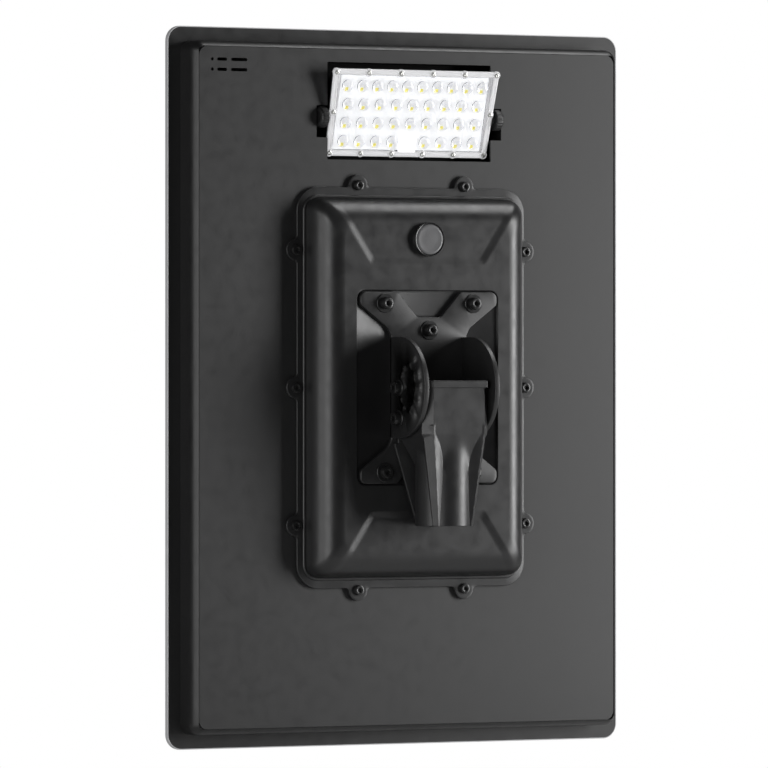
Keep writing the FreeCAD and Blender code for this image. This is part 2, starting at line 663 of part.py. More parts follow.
def cover_screw_places():
    """Ten screws round the dome: three down each side and two at each end."""
    across, along = rim_half_w + s.lobe_out, rim_half_h + s.lobe_end_out
    sides = [(across * side, s.lobe_rise * rise) for side in (-1, 1) for rise in (-1, 0, 1)]
    ends = [(s.lobe_top_side * side, along * rise) for side in (-1, 1) for rise in (-1, 1)]
    return sides + ends


# ---------------------------------------------------------------- battery dome

def make_dome():
    """Cast cover over the battery, with a flange, screw lobes, a bracket pocket and a button hole."""
    gasket = new_body("dome_gasket", HEAD)
    strip = sketch_on(gasket, "XZ_Plane", 0)
    draw_centred(strip, rim_half_w - s.gasket_inset, rim_half_h - s.gasket_inset)
    pad(gasket, strip, s.gasket_thick)
    soften(gasket, "Fillet", s.flange_corner, ALONG_Y)
    inside = sketch_on(gasket, "XZ_Plane", s.gasket_thick)
    draw_centred(inside, s.dome_half_width - s.dome_wall, s.dome_half_height - s.dome_wall)
    cut(gasket, inside)
    holes = sketch_on(gasket, "XZ_Plane", s.gasket_thick)
    draw_circles(holes, cover_screw_places(), s.screw_shank + s.screw_clearance)
    cut(gasket, holes)

    dome = plate("dome_cushion", HEAD, s.dome_half_width, s.dome_half_height, dome_seat, dome_top, keep=False)
    soften(dome, "Fillet", s.dome_shoulder, at_depth(dome_top))
    flange = plate("dome_flange", HEAD, rim_half_w, rim_half_h, dome_seat, dome_seat + s.flange_thick,
                   s.flange_corner, keep=False)
    lobes = sketch_on(flange, "XZ_Plane", dome_seat)
    draw_circles(lobes, cover_screw_places(), s.lobe_radius)
    pad(flange, lobes, s.flange_thick)
    seats = sketch_on(flange, "XZ_Plane", dome_seat + s.flange_thick)
    draw_circles(seats, cover_screw_places(), s.counterbore)
    cut(flange, seats, s.counterbore_depth)
    drills = sketch_on(flange, "XZ_Plane", dome_seat + s.flange_thick)
    draw_circles(drills, cover_screw_places(), s.screw_shank + s.screw_clearance)
    cut(flange, drills)

    facets = sketch_on(dome, "XZ_Plane", dome_top)
    low, high = s.facet_low, s.dome_half_height
    facet = [(-s.facet_half_low, low), (s.facet_half_low, low), (s.facet_half_high, high),
             (-s.facet_half_high, high)]
    draw_polygon(facets, facet)
    draw_polygon(facets, [(x, -z) for x, z in reversed(facet)])
    cut(dome, facets, s.facet_depth)
    pocket = sketch_on(dome, "XZ_Plane", dome_top)
    draw_centred(pocket, s.pocket_half_width, s.pocket_half_height)
    cut(dome, pocket, s.pocket_depth)
    doc.recompute()
    soften(dome, "Fillet", s.pocket_corner, outer_corner(s.pocket_half_width))
    taps = sketch_on(dome, "XZ_Plane", dome_top)
    draw_circles(taps, yoke_screw_places(), s.screw_shank)
    cut(dome, taps)
    button = sketch_on(dome, "XZ_Plane", dome_top)
    draw_circles(button, [(0, s.button_rise)], s.button_cap + s.button_gap + s.button_barrel)
    cut(dome, button)

    # The cushion's upright corners are rounded by a plain plate that it shares its outline with, and the
    # hollow, made the same way, comes out of the cushion and the flange together.
    corners = plate("dome_corners", HEAD, s.dome_half_width, s.dome_half_height, dome_seat, dome_top,
                    s.dome_corner, keep=False)
    shell = boolean("Common", "dome_shell", dome, corners)
    inner_w, inner_h = s.dome_half_width - s.dome_wall, s.dome_half_height - s.dome_wall
    inner_top = dome_top - s.dome_roof
    room = plate("dome_room", HEAD, inner_w, inner_h, 0, inner_top, keep=False)
    soften(room, "Fillet", s.dome_shoulder - s.dome_roof, at_depth(inner_top))
    room_corners = plate("dome_room_corners", HEAD, inner_w, inner_h, 0, inner_top,
                         s.dome_corner - s.dome_wall, keep=False)
    hollow = boolean("Common", "dome_hollow", room, room_corners)
    outer = boolean("Fuse", "dome_outer", shell, flange)
    cover = boolean("Cut", "battery_dome", outer, hollow)
    cover.Label = "battery_dome"
    nodes.append(cover)

    places = cover_screw_places()
    seat = dome_seat + s.flange_thick - s.counterbore_depth
    screws = round_group("dome_screws", HEAD, "XZ_Plane", places, [
        (s.screw_head, seat, seat + s.screw_head_height),
        (s.screw_shank, -s.cover_thick - s.nut_height - 1, seat)])
    sockets = sketch_on(screws, "XZ_Plane", seat + s.screw_head_height)
    draw_hexagons(sockets, places, s.socket_radius)
    cut(screws, sockets, s.screw_head_height * s.socket_depth_share)
    nuts = new_body("dome_nuts", HEAD)
    hexes = sketch_on(nuts, "XZ_Plane", -s.cover_thick - s.nut_height)
    draw_hexagons(hexes, places, s.nut_radius)
    pad(nuts, hexes, s.nut_height)
    threads = sketch_on(nuts, "XZ_Plane", -s.cover_thick)
    draw_circles(threads, places, s.screw_shank)
    cut(nuts, threads)


def make_battery():
    """Round cells in a plastic tray, their protection board, and the charge controller's box."""
    columns, rows = int(SIZES["battery_columns"]), int(SIZES["battery_rows"])
    step = s.battery_length + s.battery_gap
    pitch = s.battery_radius * 2 + s.battery_gap
    span = step * columns
    first = pitch * (1 - rows) / 2 - s.battery_low
    cells = []
    for column in range(columns):
        for line in range(rows):
            start = span / -2 + s.battery_gap / 2 + step * column
            cells.append(add_rod("battery_cell", s.battery_radius, start, s.battery_length,
                                 battery_depth - s.battery_radius, first + pitch * line))
    gather("battery_cells", HEAD, cells)

    half = span / 2 + s.battery_side_gap
    low = first - s.battery_radius - s.battery_end_gap
    high = first + pitch * (rows - 1) + s.battery_radius + s.battery_end_gap
    tray = new_body("battery_tray", HEAD)
    base = sketch_on(tray, "XZ_Plane", s.battery_lift)
    draw_rectangle(base, -half - s.tray_plastic, low - s.tray_plastic, half + s.tray_plastic,
                   high + s.tray_plastic)
    pad(tray, base, s.battery_radius)
    inside = sketch_on(tray, "XZ_Plane", s.battery_lift + s.battery_radius)
    draw_rectangle(inside, -half, low, half, high)
    cut(tray, inside, s.battery_radius - s.tray_plastic)

    box = add_box("charge_controller_box", (s.box_width / -2, s.battery_lift, s.box_rise - s.box_height / 2),
                  (s.box_width / 2, box_top, s.box_rise + s.box_height / 2))
    gather("charge_controller", HEAD, [box])
    board = add_box("protection_board_box",
                    (s.board_side - s.board_width / 2, s.battery_lift, s.board_height / -2),
                    (s.board_side + s.board_width / 2, s.battery_lift + s.board_depth, s.board_height / 2))
    gather("battery_protection_board", HEAD, [board])


# ---------------------------------------------------------------- push button

def make_button():
    """Round push button in the dome's upper part: a ring with a barrel, a cap and a switch."""
    spot = [(0, s.button_rise)]
    inner = s.button_cap + s.button_gap
    face = dome_top - s.facet_depth
    ring = round_group("button_ring", HEAD, "XZ_Plane", spot, [
        (s.button_ring, face, dome_top + s.button_proud - s.button_ring_drop),
        (inner + s.button_barrel, face - s.button_barrel_depth, face)])
    hole = sketch_on(ring, "XZ_Plane", dome_top + s.button_proud)
    draw_circles(hole, spot, inner)
    cut(ring, hole)
    round_group("button_cap", HEAD, "XZ_Plane", spot, [
        (s.button_cap, dome_top - s.button_skirt, dome_top + s.button_proud)])
    switch = [(s.switch_radius, switch_top - s.switch_height, switch_top)]
    round_group("button_switch", HEAD, "XZ_Plane", spot, switch)


# ---------------------------------------------------------------- yoke bracket

def yoke_screw_places():
    """One screw near each corner of the yoke's plate and one in the middle above the tilt axis."""
    corners = [(s.yoke_screw_side * side, s.yoke_screw_rise * rise) for side in (-1, 1) for rise in (-1, 1)]
    return corners + [(0, s.yoke_screw_middle)]


def make_yoke():
    """Folded plate: an hourglass base in the dome's pocket and two round ears that hold the sleeve."""
    yoke = new_body("bracket_yoke", HEAD)
    right = [(s.yoke_notch_floor_half, s.yoke_notch_floor), (s.yoke_notch_half, s.yoke_half_height),
             (s.yoke_half_width, s.yoke_half_height),
             (s.yoke_half_width, s.yoke_half_height - s.yoke_corner_drop),
             (ear_outer + s.yoke_knee_side, s.yoke_knee_rise), (ear_outer, s.yoke_waist_rise)]
    lower = [(x, -z) for x, z in reversed(right)]
    left = [(-x, z) for x, z in reversed(right + lower)]
    base = sketch_on(yoke, "XZ_Plane", pocket_floor)
    draw_polygon(base, right + lower + left)
    pad(yoke, base, s.yoke_thick)
    soften(yoke, "Fillet", s.yoke_corner, outer_corner(s.yoke_half_width))
    for start in (ear_inner, -ear_outer):
        ear = sketch_on(yoke, "YZ_Plane", start)
        draw_tongue(ear, -pocket_floor, -pivot_depth, s.ear_radius)
        pad(yoke, ear, s.ear_thick)
    drills = sketch_on(yoke, "XZ_Plane", yoke_face)
    draw_circles(drills, yoke_screw_places(), s.screw_shank + s.screw_clearance)
    cut(yoke, drills)
    bolts = sketch_on(yoke, "YZ_Plane", ear_outer + 1)
    draw_circles(bolts, tilt_bolt_places(), bolt_hole)
    cut(yoke, bolts)
    marks = sketch_on(yoke, "YZ_Plane", ear_outer + 1)
    turns = [math.radians(angle) for angle in (-50, -25, 0, 25, 50)]
    ring = [(-pivot_depth - s.ring_radius * math.cos(turn), s.ring_radius * math.sin(turn)) for turn in turns]
    near = [(-pivot_depth - s.near_hole_out, s.near_hole_rise * side) for side in (-1, 1)]
    draw_circles(marks, ring + near, s.ring_hole)
    draw_circles(marks, [(-pivot_depth - s.small_hole_out, s.small_hole_rise * side) for side in (-1, 1)],
                 s.small_hole)
    cut(yoke, marks)

    places = yoke_screw_places()
    washer = yoke_face + s.yoke_washer_thick
    washers = round_group("bracket_washers", HEAD, "XZ_Plane", places, [(s.yoke_washer, yoke_face, washer)])
    holes = sketch_on(washers, "XZ_Plane", washer)
    draw_circles(holes, places, s.screw_shank + s.screw_clearance)
    cut(washers, holes)
    screws = round_group("bracket_screws", HEAD, "XZ_Plane", places, [
        (s.yoke_head, washer, washer + s.yoke_head_height),
        (s.screw_shank, dome_top - s.dome_roof, washer)])
    sockets = sketch_on(screws, "XZ_Plane", washer + s.yoke_head_height)
    draw_hexagons(sockets, places, s.socket_radius)
    cut(screws, sockets, s.yoke_head_height * s.socket_depth_share)


def tilt_bolt_places():
    """The tilt axis and, one ring radius below it, the lock bolt."""
    return [(-pivot_depth, 0), (-pivot_depth, -s.ring_radius)]


def make_tilt_bolts():
    """Two long bolts through both ears: the pivot and the lock, with washers and nuts."""
    places = tilt_bolt_places()
    head = ear_outer + s.bolt_washer_thick
    head_radius = s.bolt_radius + s.head_rim
    bolts = round_group("tilt_bolts", HEAD, "YZ_Plane", places, [
        (head_radius, -head - s.bolt_head_height, -head),
        (s.bolt_radius, -head, head + s.bolt_nut_height + s.bolt_proud)])
    sockets = sketch_on(bolts, "YZ_Plane", -head - s.bolt_head_height)
    draw_hexagons(sockets, places, head_radius * s.socket_share)
    cut(bolts, sockets, s.bolt_head_height * s.socket_depth_share, back=True)
    washers = new_body("tilt_washers", HEAD)
    for start in (ear_outer, -head):
        rings = sketch_on(washers, "YZ_Plane", start)
        draw_circles(rings, places, s.bolt_radius + s.washer_rim)
        pad(washers, rings, s.bolt_washer_thick)
    holes = sketch_on(washers, "YZ_Plane", head + 1)
    draw_circles(holes, places, bolt_hole)
    cut(washers, holes)
    nuts = new_body("tilt_nuts", HEAD)
    hexes = sketch_on(nuts, "YZ_Plane", head)
    draw_hexagons(hexes, places, s.bolt_radius + s.nut_rim)
    pad(nuts, hexes, s.bolt_nut_height)
    threads = sketch_on(nuts, "YZ_Plane", head + s.bolt_nut_height)
    draw_circles(threads, places, s.bolt_radius)
    cut(nuts, threads)


# ---------------------------------------------------------------- lamp well and clamp

def make_lamp_well():
    """Black box behind the lamp window, and the two upright ears that carry the lamp."""
    well = new_body("lamp_well", HEAD)
    outer = sketch_on(well, "XZ_Plane", -s.well_floor - s.well_wall)
    wall, side = s.well_wall, window_half + s.well_side
    draw_rectangle(outer, -side - wall, window_low - wall, side + wall, window_high + wall)
    pad(well, outer, s.well_floor + s.well_wall - s.cover_thick)
    inner = sketch_on(well, "XZ_Plane", -s.cover_thick)
    draw_rectangle(inner, -side, window_low, side, window_high)
    cut(well, inner, s.well_floor - s.cover_thick)

    ears = new_body("lamp_ears", HEAD)
    near = window_half + s.lamp_ear_gap
    far = near + s.ear_sheet
    for start, reach in ((near, far), (-far, -far - s.lamp_foot_reach)):
        upright = sketch_on(ears, "YZ_Plane", start)
        draw_tongue(upright, s.well_floor, s.lamp_pivot_sink, s.lamp_ear_radius, lamp_rise)
        pad(ears, upright, s.ear_sheet)
        foot = sketch_on(ears, "XZ_Plane", -s.well_floor)
        draw_rectangle(foot, reach, lamp_rise - s.lamp_ear_radius, reach + s.lamp_foot_reach,
                       lamp_rise + s.lamp_ear_radius)
        pad(ears, foot, s.ear_sheet)
    holes = sketch_on(ears, "YZ_Plane", far + 1)
    draw_circles(holes, [(s.lamp_pivot_sink, lamp_rise)], s.lamp_ear_hole)
    cut(ears, holes)


# ---------------------------------------------------------------- lamp module

def lamp_outline(inset, top_half, foot_half):
    """The lamp's outline, slightly narrower at the foot, drawn in by inset at top and foot."""
    low, high = s.lamp_foot + inset, s.lamp_top - inset
    return [(-foot_half, low), (foot_half, low), (top_half, high), (-top_half, high)]


def lens_row(index):
    """Height of a row of lenses, counted from the top."""
    return s.lamp_top - s.lamp_row_top - s.lamp_row_drop * index


def lens_places():
    """Four rows of lenses: ten, nine, nine, and four each side of the sensor cover."""
    rows = []
    for index, (count, pitch) in enumerate(((10, s.lamp_long_pitch), (9, s.lamp_row_pitch),
                                            (9, s.lamp_row_pitch), (9, s.lamp_row_pitch))):
        height = lens_row(index)
        for place in range(count):
            if index == 3 and place == 4:
                continue
            rows.append((pitch * (place - (count - 1) / 2), height))
    return rows


def lens_screw_places():
    """Six screws along the top edge, six along the foot and one half way up each side."""
    inset = s.lens_screw_inset
    places = []
    for step in range(6):
        share = step / 2.5 - 1
        places.append(((s.lamp_top_half - inset) * share, s.lamp_top - inset))
        places.append(((s.lamp_foot_half - inset) * share, s.lamp_foot + inset))
    side = (s.lamp_top_half + s.lamp_foot_half) / 2 - inset
    middle = (s.lamp_top + s.lamp_foot) / 2 + s.side_screw_rise
    return places + [(-side, middle), (side, middle)]


def make_lamp():
    """Finned housing, light board with chips, gasket, clear lens plate, screws and a sensor cover."""
    housing = new_body("lamp_housing", LAMP)
    base = sketch_on(housing, "XZ_Plane", s.housing_back)
    top_half, foot_half = s.lamp_top_half - s.housing_top_inset, s.lamp_foot_half - s.housing_foot_inset
    draw_polygon(base, lamp_outline(s.housing_inset, top_half, foot_half))
    pad(housing, base, housing_front - s.housing_back)
    for side in (-1, 1):
        boss = sketch_on(housing, "YZ_Plane", (foot_half - s.boss_reach / 2) * side - s.boss_reach / 2)
        draw_rectangle(boss, -housing_front, -s.boss_half, s.boss_half, s.boss_half)
        pad(housing, boss, s.boss_reach)
    for index in range(int(SIZES["fin_count"])):
        start = s.fin_span * (index / (SIZES["fin_count"] - 1) - 0.5) - s.fin_sheet / 2
        fin = sketch_on(housing, "YZ_Plane", start)
        back = -s.housing_back
        low, high = s.lamp_foot + s.fin_low, s.lamp_top - s.fin_high
        draw_polygon(fin, [(back - s.fin_root, low), (back, low),
                           (s.fin_shallow, s.lamp_foot + s.fin_low_step),
                           (s.fin_deep, s.lamp_foot + s.fin_low_deep),
                           (s.fin_deep, s.lamp_top - s.fin_high_deep),
                           (s.fin_shallow, s.lamp_top - s.fin_high_step), (back, high),
                           (back - s.fin_root, high)])
        pad(housing, fin, s.fin_sheet)
    pocket = sketch_on(housing, "XZ_Plane", housing_front)
    low, high = s.lamp_foot + s.lamp_board_margin, s.lamp_top - s.lamp_board_margin
    draw_rectangle(pocket, -s.lamp_board_half, low, s.lamp_board_half, high)
    cut(housing, pocket, s.board_pocket)
    taps = sketch_on(housing, "XZ_Plane", housing_front)
    draw_circles(taps, lens_screw_places(), s.lens_screw_shank)
    cut(housing, taps, s.lens_screw_depth)
    pivots = sketch_on(housing, "YZ_Plane", s.lamp_top_half)
    draw_circles(pivots, [(0, 0)], s.stud_radius + s.stud_clearance)
    cut(housing, pivots)

    board_back = housing_front - s.board_pocket
    board_front = board_back + s.lamp_board_thick
    board = new_body("led_board", LAMP)
    face = sketch_on(board, "XZ_Plane", board_back)
    room = s.lamp_board_room
    draw_rectangle(face, room - s.lamp_board_half, low + room, s.lamp_board_half - room, high - room)
    pad(board, face, s.lamp_board_thick)
    half = s.chip_side / 2
    chips = []
    for x, z in lens_places():
        low_z = z - s.chip_drop - half
        chips.append(add_box("led_chip", (x - half, board_front, low_z),
                             (x + half, board_front + s.chip_thick, low_z + s.chip_side)))
    gather("led_chips", LAMP, chips)

    seal = new_body("lamp_gasket", LAMP)
    strip = sketch_on(seal, "XZ_Plane", housing_front)
    draw_polygon(strip, lamp_outline(s.housing_inset, top_half, foot_half))
    pad(seal, strip, s.lamp_gasket)
    inside = sketch_on(seal, "XZ_Plane", lens_back)
    draw_rectangle(inside, -s.lamp_board_half, low, s.lamp_board_half, high)
    cut(seal, inside)
    holes = sketch_on(seal, "XZ_Plane", lens_back)
    draw_circles(holes, lens_screw_places(), s.lens_screw_shank + s.lens_screw_clearance)
    cut(seal, holes)

    lens = new_body("lens_plate", LAMP)
    clear = sketch_on(lens, "XZ_Plane", lens_back)
    draw_polygon(clear, lamp_outline(0, s.lamp_top_half, s.lamp_foot_half))
    pad(lens, clear, s.lens_thick)
    domes = sketch_on(lens, "XZ_Plane", s.lens_front)
    draw_circles(domes, lens_places(), s.dome_lens_radius)
    pad(lens, domes, s.dome_lens_height)
    holes = sketch_on(lens, "XZ_Plane", s.lens_front)
    draw_circles(holes, lens_screw_places(), s.lens_screw_shank + s.lens_screw_clearance)
    cut(lens, holes)

    round_group("lens_screws", LAMP, "XZ_Plane", lens_screw_places(), [
        (s.lens_screw_head, s.lens_front, s.lens_front + s.lens_screw_height),
        (s.lens_screw_shank, housing_front - s.lens_screw_depth, s.lens_front)])
    row = lens_row(3) - s.patch_drop
    patch = add_box("sensor_cover_box", (s.patch_width / -2, s.lens_front, row - s.patch_height / 2),
                    (s.patch_width / 2, s.lens_front + s.patch_thick, row + s.patch_height / 2))
    gather("sensor_cover", LAMP, [patch])

    near = window_half + s.lamp_ear_gap + s.ear_sheet + s.knob_gap
    stud_end = near - s.stud_reach
    rounds = ((s.knob_radius, near, near + s.knob_length), (s.stud_radius, stud_end, near))
    for label, side in (("left_knob", -1), ("right_knob", 1)):
        knob = new_body(label, LAMP)
        for radius, start, end in rounds:
            ring = sketch_on(knob, "YZ_Plane", start if side > 0 else -end)
            draw_circles(ring, [(0, 0)], radius)
            pad(knob, ring, end - start)


make_pole_sleeve()
make_panel()
make_tray()
make_rear_cover()
make_dome()
make_battery()
make_button()
make_yoke()
make_tilt_bolts()
make_lamp_well()
make_lamp()
doc.recompute()

faults = [thing.Label for thing in doc.Objects if {"Invalid", "Error"} & set(thing.State)]
for node in nodes:
    if node.Shape.isNull() or not node.Shape.isValid() or not node.Shape.Solids:
        faults.append(node.Label)
if faults:
    raise RuntimeError("these pieces failed: %s" % ", ".join(faults))

os.makedirs("parts", exist_ok=True)
for node in nodes:
    node.Shape.exportStep("parts/%s.step" % node.Label)
    print("%-26s %3d solids %12.1f mm3" % (node.Label, len(node.Shape.Solids), node.Shape.Volume))
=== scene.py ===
import json
import math

import bmesh
import bpy
import numpy as np
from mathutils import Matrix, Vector, geometry


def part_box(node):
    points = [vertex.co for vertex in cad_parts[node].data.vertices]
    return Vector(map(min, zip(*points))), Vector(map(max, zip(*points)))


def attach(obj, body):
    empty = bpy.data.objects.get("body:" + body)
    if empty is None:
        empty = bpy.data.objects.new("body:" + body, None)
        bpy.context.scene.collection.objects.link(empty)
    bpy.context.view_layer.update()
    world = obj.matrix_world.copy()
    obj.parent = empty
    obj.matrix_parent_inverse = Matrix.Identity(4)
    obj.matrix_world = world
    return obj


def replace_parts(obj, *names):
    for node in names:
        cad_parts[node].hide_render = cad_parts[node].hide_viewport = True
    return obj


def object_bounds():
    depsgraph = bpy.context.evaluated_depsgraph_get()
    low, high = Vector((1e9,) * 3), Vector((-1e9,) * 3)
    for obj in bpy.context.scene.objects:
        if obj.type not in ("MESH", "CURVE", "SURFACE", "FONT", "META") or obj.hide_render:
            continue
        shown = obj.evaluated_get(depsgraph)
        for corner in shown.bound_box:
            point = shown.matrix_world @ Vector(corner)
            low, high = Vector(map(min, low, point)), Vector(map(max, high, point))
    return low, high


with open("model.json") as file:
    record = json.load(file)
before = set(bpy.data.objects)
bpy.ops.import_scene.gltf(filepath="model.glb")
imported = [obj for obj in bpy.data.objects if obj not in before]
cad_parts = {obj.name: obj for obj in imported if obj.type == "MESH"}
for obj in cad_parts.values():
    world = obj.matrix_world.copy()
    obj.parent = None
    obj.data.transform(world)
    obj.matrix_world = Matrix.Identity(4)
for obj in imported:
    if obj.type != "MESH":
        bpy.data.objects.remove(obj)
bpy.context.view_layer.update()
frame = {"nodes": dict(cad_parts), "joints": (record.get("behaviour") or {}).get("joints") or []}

nodes = frame["nodes"]
joints = {joint["name"]: joint for joint in frame["joints"]}

MM = 0.001
TILT_AXIS = np.array(joints["head_tilt"]["pos_m"])
LAMP_AXIS = np.array(joints["lamp_tilt"]["pos_m"])
COVER_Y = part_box("rear_cover")[0][1]
LAMP_ANGLE = math.radians(-joints["lamp_tilt"]["range_deg"][0])

# Sizes in mm that more than one piece uses.
DOME_TOP = 45.5
BUTTON_RISE = 184.6
SCREW_SIDE, SCREW_RISE = 165.3, 171
SCREW_END_SIDE, SCREW_END_RISE = 76.5, 252
SCREW_SEAT = 3.5
POCKET_FLOOR, YOKE_FACE = 42.8, 48.8
PIVOT_DEPTH, LOCK_DROP = 68, 38
EAR_RADIUS, EAR_INNER, EAR_OUTER, EAR_THICK = 63, 47.5, 54.0, 6.5
BLOCK_HALF, BLOCK_BACK, BLOCK_CORNER, BLOCK_FRONT = 47.0, 38.5, 10.5, 31.5
MOUTH = -171.5


# ---------------------------------------------------------------- the three frames of the object

def head(x, z, depth):
    """Head frame to the shared frame: x across, z up from the tilt axis, depth out from the cover, in mm."""
    x, z, depth = np.broadcast_arrays(x, z, depth)
    return np.stack([x * MM, COVER_Y - depth * MM, TILT_AXIS[2] + z * MM], -1)


def lamp(x, z, depth):
    """Lamp frame to the shared frame: as head, but about the lamp's own axis and leaning by its angle."""
    x, z, depth = np.broadcast_arrays(x, z, depth)
    lean, rise = math.sin(LAMP_ANGLE), math.cos(LAMP_ANGLE)
    y = LAMP_AXIS[1] - (depth * rise + z * lean) * MM
    return np.stack([x * MM, y, LAMP_AXIS[2] + (z * rise - depth * lean) * MM], -1)


def ears(x, z, depth):
    """A drawing whose x and z are depth and height, and whose depth is the head's x."""
    return head(depth, z, x)


def lamp_side(x, z, depth):
    """As ears, for pieces on the lamp's own axis."""
    return lamp(depth, z, x)


# ---------------------------------------------------------------- outlines

def rounded_rectangle(half_x, half_z, radius, arc=14, sides=(34, 52)):
    """Points round a rounded rectangle, always as many: each corner is a quarter circle of the radius,
    each straight side is divided evenly."""
    radius = max(min(radius, half_x - 0.05, half_z - 0.05), 0.3)
    turns = np.linspace(0, math.pi / 2, arc)
    out = []
    for quarter, (side_x, side_z) in enumerate(((1, 1), (-1, 1), (-1, -1), (1, -1))):
        centre = np.array([(half_x - radius) * side_x, (half_z - radius) * side_z])
        angle = turns + quarter * math.pi / 2
        corner = centre + radius * np.stack([np.cos(angle), np.sin(angle)], -1)
        out.append(corner)
        after = ((-1, 1), (-1, -1), (1, -1), (1, 1))[quarter]
        start = corner[-1]
        goal = np.array([(half_x - radius) * after[0], (half_z - radius) * after[1]])
        goal = goal + radius * np.array([math.cos(angle[-1]), math.sin(angle[-1])])
        count = sides[quarter % 2]
        share = np.linspace(0, 1, count + 1)[1:-1, None]
        out.append(start + (goal - start) * share)
    return np.concatenate(out)


def round_corners(points, radii, steps=6):
    """A polygon with each corner replaced by an arc of its own radius that touches both sides."""
    points = np.array(points, float)
    radii = np.broadcast_to(radii, len(points))
    out = []
    for place, (spot, radius) in enumerate(zip(points, radii)):
        before, after = points[place - 1] - spot, points[(place + 1) % len(points)] - spot
        before_length, after_length = np.linalg.norm(before), np.linalg.norm(after)
        before, after = before / before_length, after / after_length
        half = math.acos(np.clip(before @ after, -1, 1)) / 2
        if radius <= 0 or half > 1.55:
            out.append(spot[None])
            continue
        reach = min(radius / math.tan(half), 0.49 * before_length, 0.49 * after_length)
        radius = reach * math.tan(half)
        middle = spot + (before + after) / np.linalg.norm(before + after) * radius / math.sin(half)
        first, last = spot + before * reach - middle, spot + after * reach - middle
        start = math.atan2(first[1], first[0])
        sweep = math.atan2(last[1], last[0]) - start
        sweep = (sweep + math.pi) % (2 * math.pi) - math.pi
        turns = start + sweep * np.linspace(0, 1, steps)
        out.append(middle + radius * np.stack([np.cos(turns), np.sin(turns)], -1))
    return np.concatenate(out)


def circle(x, z, radius, count=40):
    """Points round a circle."""
    turns = np.linspace(0, 2 * math.pi, count, endpoint=False)
    return np.stack([x + radius * np.cos(turns), z + radius * np.sin(turns)], -1)


def inset(outline, by):
    """The outline moved inwards: each point goes along the mean of the two sides' inward directions."""
    side = np.roll(outline, -1, 0) - outline
    side /= np.maximum(np.linalg.norm(side, axis=1, keepdims=True), 1e-9)
    left = np.stack([-side[:, 1], side[:, 0]], -1)
    mean = left + np.roll(left, 1, 0)
    mean /= np.maximum((mean ** 2).sum(1, keepdims=True) / 2, 0.35)
    area = (outline[:, 0] * np.roll(outline[:, 1], -1) - np.roll(outline[:, 0], -1) * outline[:, 1]).sum()
    return outline + mean * by * math.copysign(1, area)


# ---------------------------------------------------------------- meshes

def make_piece(name, vertices, faces, material, body, angle=32):
    """One object from points and faces: doubles merged, faces turned outwards, flat caps left flat, edges
    sharper than the angle kept sharp, and the piece set to ride on its body."""
    mesh = bpy.data.meshes.new(name)
    mesh.from_pydata([tuple(point) for point in vertices], [], faces)
    shape = bmesh.new()
    shape.from_mesh(mesh)
    bmesh.ops.remove_doubles(shape, verts=shape.verts, dist=2e-6)
    bmesh.ops.dissolve_degenerate(shape, edges=shape.edges, dist=1e-6)
    bmesh.ops.recalc_face_normals(shape, faces=shape.faces)
    for face in shape.faces:
        face.smooth = len(face.verts) == 4
    shape.to_mesh(mesh)
    shape.free()
    mesh.set_sharp_from_angle(angle=math.radians(angle))
    mesh.materials.append(material)
    piece = bpy.data.objects.new(name, mesh)
    bpy.context.scene.collection.objects.link(piece)
    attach(piece, body)
    return piece


class Pile:
    """Gathers several surfaces into one mesh."""

    def __init__(self):
        self.vertices, self.faces, self.count = [], [], 0

    def add(self, vertices, faces):
        vertices = np.asarray(vertices).reshape(-1, 3)
        self.vertices.append(vertices)
        self.faces += [tuple(self.count + corner for corner in face) for face in faces]
        self.count += len(vertices)

    def piece(self, name, material, body, slot, angle=32):
        return make_piece(name, np.concatenate(self.vertices), self.faces, material, body, angle)


def skin(rings, caps=(True, True), ring_closed=False):
    """Faces between neighbouring rings of a (rings, points, 3) grid, with the two end rings capped, or
    joined to each other where ring_closed."""
    count, size = rings.shape[:2]
    across = np.arange(size)
    faces = []
    last = count if ring_closed else count - 1
    for row in range(last):
        low, high = row * size, (row + 1) % count * size
        after = (across + 1) % size
        faces += np.stack([low + across, low + after, high + after, high + across], -1).tolist()
    if not ring_closed:
        if caps[0]:
            faces.append(list(across[::-1]))
        if caps[1]:
            faces.append(list((count - 1) * size + across))
    return rings.reshape(-1, 3), faces


def flat_cap(outline, holes):
    """Triangles that fill an outline but not its holes."""
    loops = [outline] + list(holes)
    spots = [Vector(point) for loop in loops for point in loop]
    edges, start = [], 0
    for loop in loops:
        edges += [(start + place, start + (place + 1) % len(loop)) for place in range(len(loop))]
        start += len(loop)
    found = geometry.delaunay_2d_cdt(spots, edges, [], 2 if holes else 1, 1e-6)
    return np.array([list(point) for point in found[0]]), [list(face) for face in found[2]]


